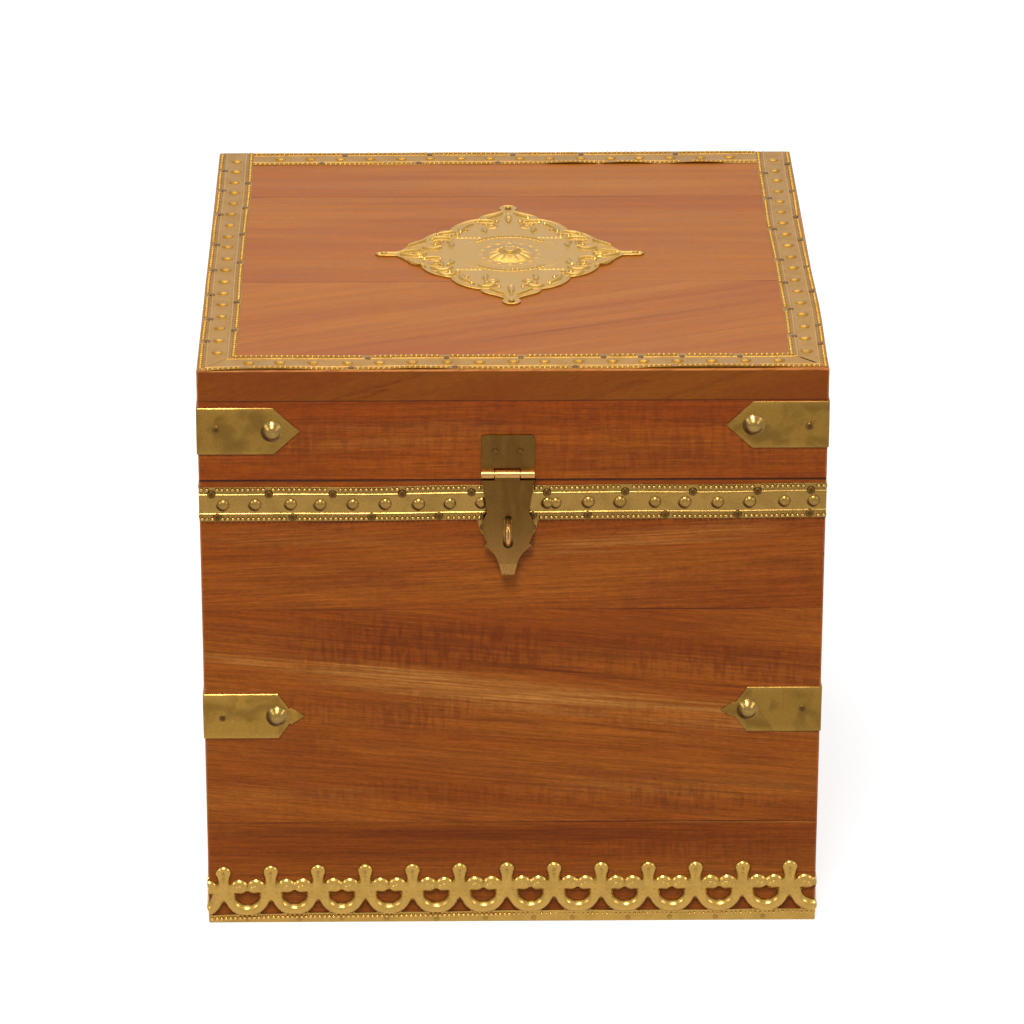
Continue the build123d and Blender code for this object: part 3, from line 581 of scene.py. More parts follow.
def turned(profile, sides, bored=False):
    """A form of revolution about n: profile is radius, height and wear from the foot up.

    A bored one is a tube, whose bore joins the last ring to the first.
    """
    points, wear_and_painted_light, faces = [], [], []
    for radius, height, ring_wear in profile:
        ring = 1 if radius == 0 else sides
        for n in range(ring):
            angle = 2 * math.pi * n / sides
            points.append((radius * math.cos(angle), radius * math.sin(angle), height))
            wear_and_painted_light.append(ring_wear)
    starts = np.cumsum([0] + [1 if r == 0 else sides for r, _, _ in profile]).tolist()
    for level in range(len(profile) - 1):
        low, high = starts[level], starts[level + 1]
        quads = band_faces(low, high, sides)
        if profile[level + 1][0] == 0:
            faces += [(a, b, high) for a, b, _, _ in quads]
        elif profile[level][0] == 0:
            faces += [(low, c, d) for _, _, c, d in quads]
        else:
            faces += quads
    if bored:
        faces += band_faces(starts[-2], 0, sides)
        return {"points": np.array(points), "faces": faces, "wear_and_painted_light": np.array(wear_and_painted_light)}
    if profile[0][0] > 0:
        faces.append(tuple(reversed(range(sides))))
    if profile[-1][0] > 0:
        faces.append(tuple(range(starts[-2], starts[-2] + sides)))
    return {"points": np.array(points), "faces": faces, "wear_and_painted_light": np.array(wear_and_painted_light)}


def lofted(loops):
    """A closed form through a row of loops, each with the same number of points."""
    loops = np.asarray(loops, float)
    count, around = loops.shape[:2]
    faces = []
    for i in range(count - 1):
        faces += band_faces(i * around, (i + 1) * around, around)
    faces.append(tuple(reversed(range(around))))
    faces.append(tuple(range((count - 1) * around, count * around)))
    return loops.reshape(-1, 3), faces


def cut_sheet(outline, holes, thickness, ease):
    """A flat sheet from n = 0 up, with eased edges: outline and holes are rows of (s, t)."""
    data = bpy.data.curves.new("sheet_outline", "CURVE")
    data.dimensions = "2D"
    data.fill_mode = "BOTH"
    for loop in [outline, *holes]:
        spline = data.splines.new("POLY")
        spline.points.add(len(loop) - 1)
        for point, (s, t) in zip(spline.points, loop):
            point.co = (s, t, 0, 1)
        spline.use_cyclic_u = True
    data.extrude = thickness / 2 - ease
    data.bevel_depth = ease
    data.bevel_resolution = 1
    data.offset = -ease
    holder = placed("sheet_outline", data)
    solid = bpy.data.meshes.new_from_object(holder.evaluated_get(bpy.context.evaluated_depsgraph_get()))
    points = np.array([v.co for v in solid.vertices])
    points[:, 2] += thickness / 2
    faces = [tuple(p.vertices) for p in solid.polygons]
    bpy.data.objects.remove(holder)
    bpy.data.curves.remove(data)
    bpy.data.meshes.remove(solid)
    return {"points": points, "faces": faces, "wear_and_painted_light": np.full(len(points), PLAIN_WEAR)}


def arc(centre, radius, start, end, count):
    """Points on an arc, angles in degrees."""
    angles = [math.radians(start + (end - start) * n / count) for n in range(count + 1)]
    return [(centre[0] + radius * math.cos(a), centre[1] + radius * math.sin(a)) for a in angles]


def in_mm(*values):
    """Millimetres as metres."""
    return [value * MM for value in values]


def held(values):
    """The values held between 0 and 1."""
    return np.clip(values, 0, 1)


def ridge(values, centre, width):
    """A smooth hump, 1 at its centre."""
    return np.exp(-(((values - centre) / width) ** 2))


def arc_through(start, middle, end, count):
    """Points on the arc through three points, both ends included."""
    a, b, c = (complex(*p) for p in (start, middle, end))
    w = (c - a) / (b - a)
    centre = (b - a) * (w - abs(w) ** 2) / (2j * w.imag) + a
    radius = abs(a - centre)
    angles = [math.degrees(math.atan2((p - centre).imag, (p - centre).real)) for p in (a, b, c)]
    sweep = (angles[2] - angles[0]) % 360
    if (angles[1] - angles[0]) % 360 > sweep:
        sweep -= 360
    return arc((centre.real, centre.imag), radius, angles[0], angles[0] + sweep, count)


def rim_loops(rim):
    """The closed loops of points in a rim, which gives the next point for each point."""
    waiting = dict(rim)
    loops = []
    while waiting:
        start, current = waiting.popitem()
        loop = [start]
        while current != start:
            loop.append(current)
            current = waiting.pop(current)
        loops.append(loop)
    return loops


def relief_sheet(shell, matrix, inside, height, low, high, step, contrast=0.3 * MM, crest=0.0):
    """An embossed sheet over the places where inside(s, t) > 0, raised to height(s, t) over the wood.

    Its wear and painted light come from how far a point stands out from those round it, by
    contrast, and from how high it stands, by crest: the brown film in the hollows, and bright
    crests as rubbed metal and as a painted highlight.
    """
    columns = int((high[0] - low[0]) / step) + 2
    rows = int((high[1] - low[1]) / step) + 2
    s_line = low[0] + step * np.arange(columns)
    t_line = low[1] + step * np.arange(rows)
    s, t = np.meshgrid(s_line, t_line, indexing="ij")
    field = inside(s, t)
    kept = field > 0
    number = np.full(kept.shape, -1)
    number[kept] = np.arange(kept.sum())
    points = list(zip(s[kept].tolist(), t[kept].tolist()))
    crossings = {}

    def crossing(corner, other):
        """The point where the outline passes between a kept corner and its neighbour."""
        if (corner, other) not in crossings:
            part = field[corner] / (field[corner] - field[other])
            part = min(max(part, 0.03), 0.97)
            crossings[(corner, other)] = len(points)
            points.append(
                (
                    s_line[corner[0]] + part * (s_line[other[0]] - s_line[corner[0]]),
                    t_line[corner[1]] + part * (t_line[other[1]] - t_line[corner[1]]),
                )
            )
        return crossings[(corner, other)]

    corners = (kept[:-1, :-1], kept[1:, :-1], kept[1:, 1:], kept[:-1, 1:])
    total = sum(c.astype(int) for c in corners)
    i, j = np.nonzero(total == 4)
    faces = np.stack(
        [number[i, j], number[i + 1, j], number[i + 1, j + 1], number[i, j + 1]], axis=1
    ).tolist()
    rim = {}
    for i, j in zip(*np.nonzero((total > 0) & (total < 4))):
        around = [(i, j), (i + 1, j), (i + 1, j + 1), (i, j + 1)]
        polygon, leaves, enters = [], [], []
        for corner, following in zip(around, around[1:] + around[:1]):
            if kept[corner]:
                polygon.append(int(number[corner]))
                if not kept[following]:
                    leaves.append(crossing(corner, following))
                    polygon.append(leaves[-1])
            elif kept[following]:
                enters.append(crossing(following, corner))
                polygon.append(enters[-1])
        faces.append(polygon)
        if kept[around[0]]:
            pairs = zip(leaves, enters)
        else:
            pairs = zip(leaves, enters[1:] + enters[:1])
        rim.update(pairs)
    flat = np.array(points)
    heights = height(flat[:, 0], flat[:, 1])
    reach = 1.3 * step
    around = sum(
        height(flat[:, 0] + reach * math.cos(a), flat[:, 1] + reach * math.sin(a))
        for a in np.linspace(0, 2 * math.pi, 8, endpoint=False)
    )
    wear_and_painted_light = 0.5 + (heights - around / 8) / contrast
    wear_and_painted_light = held(wear_and_painted_light + crest * (heights / heights.max() - 0.55))
    top = np.column_stack([flat, heights])
    loops = rim_loops(rim)
    foot = {point: len(points) + n for n, point in enumerate(rim)}
    base = np.array([(*points[point], 0.0) for point in rim])
    faces += [(b, a, foot[a], foot[b]) for a, b in rim.items()]
    names = [foot[point] for loop in loops for point in loop]
    laid = [[Vector((*points[point], 0.0)) for point in loop] for loop in loops]
    for triangle in tessellate_polygon(laid):
        a, b, c = (Vector(base[names[k] - len(points)]) for k in triangle)
        order = triangle if (b - a).cross(c - a).z < 0 else triangle[::-1]
        faces.append([names[k] for k in order])
    shell.add(np.vstack([top, base]), faces, np.concatenate([wear_and_painted_light, np.full(len(base), 0.3)]), matrix)


# ======== boards ========
def plane_kind(axis, value):
    """Whether a board's face on that axis lies outside, on the seam or in a joint."""
    outside = ((LEFT_X, RIGHT_X), (FRONT_Y, BACK_Y), (0.0, TOP_Z))[axis]
    if min(abs(value - place) for place in outside) < 0.05 * MM:
        return "outside"
    if axis == 2 and abs(value - SEAM_Z) < 0.05 * MM:
        return "seam"
    return "joint"


def eased_board(name, body, material, slot, settings):
    """A board of the frame with its edges eased by where they lie."""
    low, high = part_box(name)
    ends = (low, high)
    points = [(ends[a].x, ends[b].y, ends[c].z) for a in (0, 1) for b in (0, 1) for c in (0, 1)]
    faces = [(0, 1, 3, 2), (4, 6, 7, 5), (0, 4, 5, 1), (2, 3, 7, 6), (0, 2, 6, 4), (1, 5, 7, 3)]
    shell = Shell()
    shell.add(points, faces)
    made = shell.piece(f"{name}_planed", body, material, slot, replaces=[name], crease=180)
    mesh = made.data
    widest = max(settings.arris, settings.seam_ease, settings.joint_ease)
    weights = mesh.attributes.new("bevel_weight_edge", "FLOAT", "EDGE")
    for edge in mesh.edges:
        first, second = (mesh.vertices[n].co for n in edge.vertices)
        kinds = [
            plane_kind(axis, first[axis]) for axis in range(3) if abs(first[axis] - second[axis]) < 1e-6
        ]
        if kinds == ["outside", "outside"]:
            ease = settings.arris
        elif "seam" in kinds and "joint" not in kinds:
            ease = settings.seam_ease
        else:
            ease = settings.joint_ease
        weights.data[edge.index].value = ease / widest
    bevel = made.modifiers.new("Eased edges", "BEVEL")
    bevel.limit_method = "WEIGHT"
    bevel.width = widest
    bevel.segments = 3
    bevel.harden_normals = True


# directions along the grain, across it on the show face, and through the board
ALONG_X = ((1, 0, 0), (0, 0, 1), (0, 1, 0))
ALONG_Y = ((0, 1, 0), (0, 0, 1), (1, 0, 0))
WALLS = {"front": ALONG_X, "back": ALONG_X, "left": ALONG_Y, "right": ALONG_Y}


class CHEST_OT_boards(bpy.types.Operator):
    """Finish the boards: eased edges and planed hardwood"""

    bl_idname = "chest.boards"
    bl_label = "Boards"

    def execute(self, context):
        wood = context.scene.chest_wood
        streaks, ripples = self.hand_placed(wood.body_gold, wood.body_deep, wood.body_dark)
        seed = self.walls(wood, streaks, ripples)
        seed = self.rails(wood, streaks["rail"], seed)
        self.top_and_bottom(wood, streaks, seed)
        return {"FINISHED"}

    def walls(self, wood, streaks, ripples):
        """The walls' boards; those of the front carry streaks of their own."""
        gold, deep = wood.body_gold, wood.body_deep
        tilts = {"lower": 0.01, "middle": 0.09, "upper": -0.04}
        seed = 0.0
        for wall, directions in WALLS.items():
            for board, tilt in tilts.items():
                name = f"{wall}_board_{board}"
                seed += 2.3
                if wall == "front":
                    marks, chatter = streaks[board], ripples[board]
                else:
                    middle = centre_of(name)[2]
                    shift = 0.02 * math.sin(seed)
                    marks = [
                        (shift, middle, 0.06, 0.14, 0.010, gold, 0.5),
                        (-shift, middle + 0.022, -0.04, 0.11, 0.006, deep, 0.4),
                    ]
                    chatter = [(shift, middle - 0.015, 0.0, 0.10, 0.014, 0.5)]
                shade = 0.92 if board == "lower" else 1.0
                tones = (scaled(wood.body_light, shade), scaled(wood.body_dark, shade), deep, wood.raw)
                looks = {"streaks": marks, "figure": 0.25, "chatter": chatter, "tilt": tilt}
                self.dress(name, "chest", wood, tones, directions, seed, looks)
        return seed

    def rails(self, wood, streaks, seed):
        """The lid's rails; that of the front carries streaks of its own."""
        tones = (wood.lid_light, wood.lid_dark, wood.body_deep, wood.raw)
        for rail, directions in WALLS.items():
            name = f"lid_{rail}_rail"
            seed += 3.1
            marks = streaks if rail == "front" else ()
            looks = {"streaks": marks, "figure": 0.2, "chatter": [(0.0, 0.262, 0.0, 0.2, 0.03, 0.4)]}
            self.dress(name, "lid", wood, tones, directions, seed, looks)
        return seed

    def top_and_bottom(self, wood, streaks, seed):
        """The top's three boards and the bottom panel."""
        level = ((1, 0, 0), (0.0, 1, 0.3), (0, 0, 1))
        sloping = ((1, 0, 0), (-0.36, 1, 1), (0, 0, 1))
        tones = (wood.top_light, wood.top_dark, wood.body_deep, wood.raw)
        for board, directions in (("front", sloping), ("middle", level), ("back", level)):
            name = f"lid_board_{board}"
            seed += 1.7
            looks = {"streaks": streaks[f"lid_{board}"], "figure": 0.05, "bold": 0.6, "edge_shade": 0.55}
            self.dress(name, "lid", wood, tones, directions, seed, looks)
        tones = (wood.raw, wood.top_dark, wood.body_deep, wood.raw)
        bottom = planed_wood("bottom_wood", tones, level, seed + 4.0)
        eased_board("bottom_panel", "chest", bottom, "body_wood", wood)

    def hand_placed(self, gold, deep, dark):
        """The marks that give each board of the front and the top its own face, in metres."""
        earth = blended(deep, dark)
        streaks = {
            "lower": [
                (-0.020, 0.0485, -0.01, 0.150, 0.0055, deep, 0.75),
                (0.112, 0.0535, -0.01, 0.060, 0.0030, gold, 0.55),
                (-0.060, 0.0250, 0.02, 0.120, 0.0050, deep, 0.30),
            ],
            "middle": [
                (0.035, 0.1240, -0.115, 0.165, 0.0110, gold, 0.66),
                (0.010, 0.1275, -0.115, 0.095, 0.0040, gold, 0.5),
                (-0.100, 0.1440, -0.100, 0.085, 0.0040, gold, 0.60),
                (-0.040, 0.1560, -0.060, 0.110, 0.0100, deep, 0.40),
                (0.090, 0.1480, -0.060, 0.100, 0.0100, deep, 0.36),
                (0.050, 0.1365, -0.120, 0.110, 0.0024, deep, 0.70),
                (0.030, 0.1120, -0.090, 0.130, 0.0030, deep, 0.40),
                (0.085, 0.0990, -0.130, 0.090, 0.0022, deep, 0.50),
                (0.020, 0.0860, -0.050, 0.160, 0.0040, deep, 0.30),
                (0.080, 0.0760, 0.000, 0.090, 0.0100, gold, 0.26),
                (-0.110, 0.0720, 0.020, 0.060, 0.0080, gold, 0.20),
            ],
            "upper": [
                (0.070, 0.2110, 0.090, 0.085, 0.0080, gold, 0.42),
                (-0.095, 0.1930, 0.020, 0.060, 0.0110, earth, 0.50),
                (0.010, 0.1850, 0.030, 0.120, 0.0030, deep, 0.30),
                (0.090, 0.1960, 0.090, 0.070, 0.0026, deep, 0.32),
                (-0.100, 0.2120, 0.010, 0.060, 0.0080, gold, 0.18),
            ],
            "rail": [
                (-0.0105, 0.2735, 0.0, 0.010, 0.0035, deep, 0.50),
                (0.075, 0.2600, 0.05, 0.080, 0.0110, deep, 0.25),
                (-0.075, 0.2660, 0.04, 0.090, 0.0100, gold, 0.16),
            ],
            "lid_front": [
                (0.000, 0.2000, 0.0, 0.300, 0.0800, dark, 0.30),
                (-0.070, 0.1620, 0.0, 0.040, 0.0035, deep, 0.75),
                (0.040, 0.1190, 0.0, 0.050, 0.0030, deep, 0.45),
                (0.100, 0.1060, 0.0, 0.060, 0.0040, deep, 0.40),
                (0.060, 0.1900, 0.0, 0.090, 0.0050, deep, 0.42),
                (-0.020, 0.2050, 0.0, 0.120, 0.0070, dark, 0.50),
                (0.030, 0.2280, 0.0, 0.110, 0.0060, gold, 0.26),
                (0.080, 0.2080, 0.0, 0.080, 0.0045, gold, 0.26),
                (-0.090, 0.2300, 0.0, 0.060, 0.0040, deep, 0.25),
            ],
            "lid_middle": [
                (0.000, 0.1500, 0.02, 0.140, 0.0080, gold, 0.20),
                (-0.080, 0.0850, 0.00, 0.080, 0.0060, dark, 0.35),
                (0.060, 0.1200, 0.01, 0.120, 0.0050, dark, 0.35),
            ],
            "lid_back": [
                (-0.020, 0.1950, 0.0, 0.160, 0.0120, gold, 0.34),
                (0.040, 0.2150, 0.0, 0.120, 0.0060, dark, 0.30),
            ],
        }
        ripples = {
            "lower": [(0.060, 0.040, 0.0, 0.110, 0.0110, 0.35)],
            "middle": [
                (-0.045, 0.1530, -0.02, 0.085, 0.0180, 0.75),
                (0.090, 0.1450, -0.05, 0.080, 0.0150, 0.65),
                (-0.080, 0.1180, -0.05, 0.080, 0.0120, 0.5),
                (0.000, 0.0700, 0.0, 0.150, 0.0130, 0.30),
            ],
            "upper": [(0.000, 0.2250, 0.0, 0.160, 0.0120, 0.25)],
        }
        return streaks, ripples

    def joints(self, name):
        """The dark lines of a board: a painted shadow along the seam, and glue lines."""
        low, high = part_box(name)
        seam_shadow_and_glue = {"seam": (0.75 * MM, SEAM_SHADOW), "joint": (0.42 * MM, GLUE_LINE)}
        lines = []
        for axis in (1, 2) if name.startswith("lid_board") else (2,):
            for place in (low[axis], high[axis]):
                kind = plane_kind(axis, place)
                if kind in seam_shadow_and_glue:
                    lines.append((axis, place, *seam_shadow_and_glue[kind]))
        return lines

    def dress(self, name, body, wood, tones, directions, seed, looks):
        """Boards with hinge seats keep the frame's own shape; the others get eased edges."""
        material = planed_wood(f"{name}_wood", tones, directions, seed, lines=self.joints(name), **looks)
        slot = "lid_wood" if body == "lid" else "body_wood"
        if name in ("back_board_upper", "lid_back_rail"):
            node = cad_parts[name]
            node.data.materials.clear()
            node.data.materials.append(material)
        else:
            eased_board(name, body, material, slot, wood)


# ======== nails ========
def round_nail(radius, height, sides=20):
    """A domed head on a narrow flange."""
    dome = radius * 0.9
    profile = [(radius, -0.1 * MM, 0.2), (radius, 0.25 * MM, 0.5), (radius * 0.97, 0.42 * MM, 0.7)]
    profile += [(dome, 0.35 * MM, 0.34)]
    # a long even slope, which catches the lamp, and a rounded crown
    crown = ((0.93, 0.10), (0.74, 0.40), (0.55, 0.705), (0.4, 0.86), (0.22, 0.96), (0.0, 1.0))
    for n, (out, up) in enumerate(crown, 1):
        profile.append((dome * out, 0.35 * MM + (height - 0.35 * MM) * up, 0.5 + 0.2 * n / 6))
    return turned(profile, sides)


def tack(radius, sides=14):
    """A small browned tack driven flush, ringed by dirt, its head a little dished."""
    return turned(
        [
            (radius * 1.15, -0.1 * MM, 0.0),
            (radius * 1.1, 0.08 * MM, 0.0),
            (radius, 0.12 * MM, 0.0),
            (radius * 0.88, 0.36 * MM, 0.24),
            (radius * 0.6, 0.42 * MM, 0.14),
            (radius * 0.35, 0.34 * MM, 0.0),
            (0.0, 0.32 * MM, 0.1),
        ],
        sides,
    )


def with_painted_shade(form, shade_side, radius, strength=0.4):
    """The form darkened, as a painted shade, on the side that the given direction in its plane points to.
    """
    side = form["points"][:, :2] @ np.array(shade_side, float) / radius
    form["wear_and_painted_light"] = held(form["wear_and_painted_light"] - strength * held(side - 0.1))
    return form


# ======== embossed ribbon ========
# where each wall that carries brass starts and ends along its own s
SPANS = {"front": (LEFT_X, RIGHT_X), "left": (-BACK_Y, -FRONT_Y), "right": (FRONT_Y, BACK_Y)}
# the brass of the side walls is beaten down hard
BEATEN = Matrix.Diagonal((1, 1, 0.3, 1))


class RibbonMaker:
    """Lays embossed ribbon strips with their beads, domes and tacks."""

    def __init__(self, settings, seed, shade_side=(0, 0), domes=None, tack_radius=1.85 * MM):
        """The shade direction points to the side of each dome darkened as a painted shade, and domes are
        places given one by one.
        """
        self.tack_radius = tack_radius
        self.settings = settings
        self.shade_side = shade_side
        self.domes = domes
        self.random = random.Random(seed)
        self.phases = [self.random.uniform(0, 2 * math.pi) for _ in range(6)]

    def drift(self, s, which=0):
        """How far the hand-laid strip strays across at s."""
        first, second = self.phases[which], self.phases[which + 1]
        wave = math.sin(s / 0.031 + first) + 0.6 * math.sin(s / 0.013 + second)
        return self.settings.wander * 0.6 * wave

    def section(self):
        """Half of the strip's face, from the centre line out: distance, height and wear."""
        r = self.settings
        flat, ridge, half = r.thickness, r.ridge_line, r.width / 2
        return [
            (ridge - 1.2 * MM, flat, 0.5),
            (ridge - 0.45 * MM, flat, 0.42),
            (ridge - 0.12 * MM, flat + 0.32 * MM, 0.9),
            (ridge, flat + 0.36 * MM, 1.0),
            (ridge + 0.12 * MM, flat + 0.32 * MM, 0.9),
            (ridge + 0.45 * MM, flat - 0.04 * MM, 0.3),
            (ridge + 1.0 * MM, flat - 0.08 * MM, 0.3),
            (r.bead_line - 1.0 * MM, flat - 0.08 * MM, 0.36),
            (r.bead_line + 0.9 * MM, flat - 0.06 * MM, 0.36),
            (half - 0.15 * MM, flat - 0.02 * MM, 0.6),
            (half, flat - 0.2 * MM, 0.3),
        ]

    def lay(self, shell, turn, start, end, mitres=(0, 0), tacks=((), ()), lean=None, lifts=()):
        """One strip along s of the turned frame, centred on t = 0, from start to end.

        lean(s) gives how far the strip strays across, and lifts are stretches where its lower
        edge stands off the wood: (start, end, height in millimetres).
        """
        r = self.settings
        self.lean = lean or (lambda s: 0.0)
        self.lifts = lifts
        half = self.section()
        row = [(-u, h, w) for u, h, w in reversed(half)] + half
        count = max(8, int((end - start) / (3.2 * MM)))
        loops = []
        for n in range(count + 1):
            share = n / count
            loop = []
            for u, h, _ in row:
                first = start + mitres[0] * (u + r.width / 2)
                last = end - mitres[1] * (u + r.width / 2)
                s = first + (last - first) * share
                loop.append((s, u + self.stray(s, u), h + self.lifted(s, u)))
            under = [(s, t, 0.0) for s, t, _ in (loop[-1], loop[0])]
            loops.append(loop + under)
        # the strip's sides down to the wood get the full brown film, a painted shadow under its lifted
        # edges
        wear_and_painted_light = [w for _, _, w in row] + [0.0, 0.0]
        points, faces = lofted(loops)
        shell.add(points, faces, np.tile(wear_and_painted_light, count + 1), turn)
        skipped = [(s, 1) for s in tacks[0]] + [(s, -1) for s in tacks[1]]
        self.add_beads(shell, turn, start, end, mitres, skipped)
        self.add_domes(shell, turn, start, end, mitres)
        head = tack(self.tack_radius)
        for s, side in skipped:
            t = r.ridge_line + 0.3 * MM if side > 0 else -r.ridge_line - 1.6 * MM
            place = Matrix.Translation((s, t + self.stray(s, t), r.thickness + 0.25 * MM))
            shell.add_form(head, turn @ place)

    def stray(self, s, u):
        """How far a point of the strip lies off its true line: the edges waver most."""
        edge = min(1.0, abs(u) / (self.settings.width / 2)) ** 2
        return self.lean(s) + self.drift(s) + 0.6 * edge * self.drift(s, 2 if u > 0 else 4)

    def lifted(self, s, u):
        """How far a point of the strip stands off the wood."""
        edge = max(0.0, abs(u) - 4 * MM) / (self.settings.width / 2 - 4 * MM)
        lift = 0.10 * MM * edge * (1 + math.sin(s / 0.017 + self.phases[5]))
        for start, end, height in self.lifts:
            if start < s < end and u < 0:
                lift += height * MM * edge * math.sin(math.pi * (s - start) / (end - start)) ** 0.6
        return lift

    def add_beads(self, shell, turn, start, end, mitres, skipped):
        r = self.settings
        radius = r.bead_radius
        bead = turned(
            [
                (radius, -0.15 * MM, 0.2),
                (radius * 0.93, radius * 0.32, 0.4),
                (radius * 0.68, radius * 0.72, 0.8),
                (radius * 0.32, radius * 0.94, 1.0),
                (0.0, radius, 1.0),
            ],
            9,
        )
        for side in (-1, 1):
            reach = side * r.bead_line + r.width / 2
            s = start + mitres[0] * reach + r.bead_pitch / 2
            last = end - mitres[1] * reach
            while s < last - r.bead_pitch / 3:
                if not any(s0 - 2.2 * MM < s < s0 + 2.2 * MM and side == k for s0, k in skipped):
                    size = self.random.uniform(0.9, 1.06)
                    u = side * r.bead_line
                    jog = self.random.uniform(-0.12, 0.12) * MM
                    height = r.thickness - 0.06 * MM + self.lifted(s, u)
                    place = Matrix.Translation((s + jog, u + self.stray(s, u), height))
                    shell.add_form(bead, turn @ place @ Matrix.Scale(size, 4))
                s += r.bead_pitch

    def add_domes(self, shell, turn, start, end, mitres):
        r = self.settings
        dome, tall = r.dome_radius, r.dome_height
        profile = [(dome * 1.3, -0.05 * MM, 0.5), (dome * 1.12, 0.03 * MM, 0.56)]
        for share in (1.0, 0.96, 0.88, 0.76, 0.6, 0.4, 0.2, 0.0):
            profile.append((dome * share, tall * (1 - share**2) ** 0.8 + 0.05 * MM, 0.7 - 0.2 * share))
        # each dome is darkened towards one side as a painted shade
        form = with_painted_shade(turned(profile, 24), self.shade_side, dome, 0.55)
        inner_start = start + mitres[0] * r.width / 2
        inner_end = end - mitres[1] * r.width / 2
        count = int((inner_end - inner_start) / r.dome_pitch)
        first = (inner_start + inner_end - (count - 1) * r.dome_pitch) / 2
        places = [first + n * r.dome_pitch + self.random.uniform(-0.7, 0.7) * MM for n in range(count)]
        for s in self.domes or places:
            t = self.stray(s, 0.0) + self.random.uniform(-0.3, 0.3) * MM
            size = self.random.uniform(0.92, 1.05)
            place = Matrix.Translation((s, t, r.thickness))
            shell.add_form(form, turn @ place @ Matrix.Scale(size, 4))


def spaced(start, end, pitch, seed):
    """Hand-set places along a strip, about a pitch apart."""
    shaker = random.Random(seed)
    count = int((end - start) / pitch)
    first = (start + end - (count - 1) * pitch) / 2
    return [first + n * pitch + shaker.uniform(-0.12, 0.12) * pitch for n in range(count)]


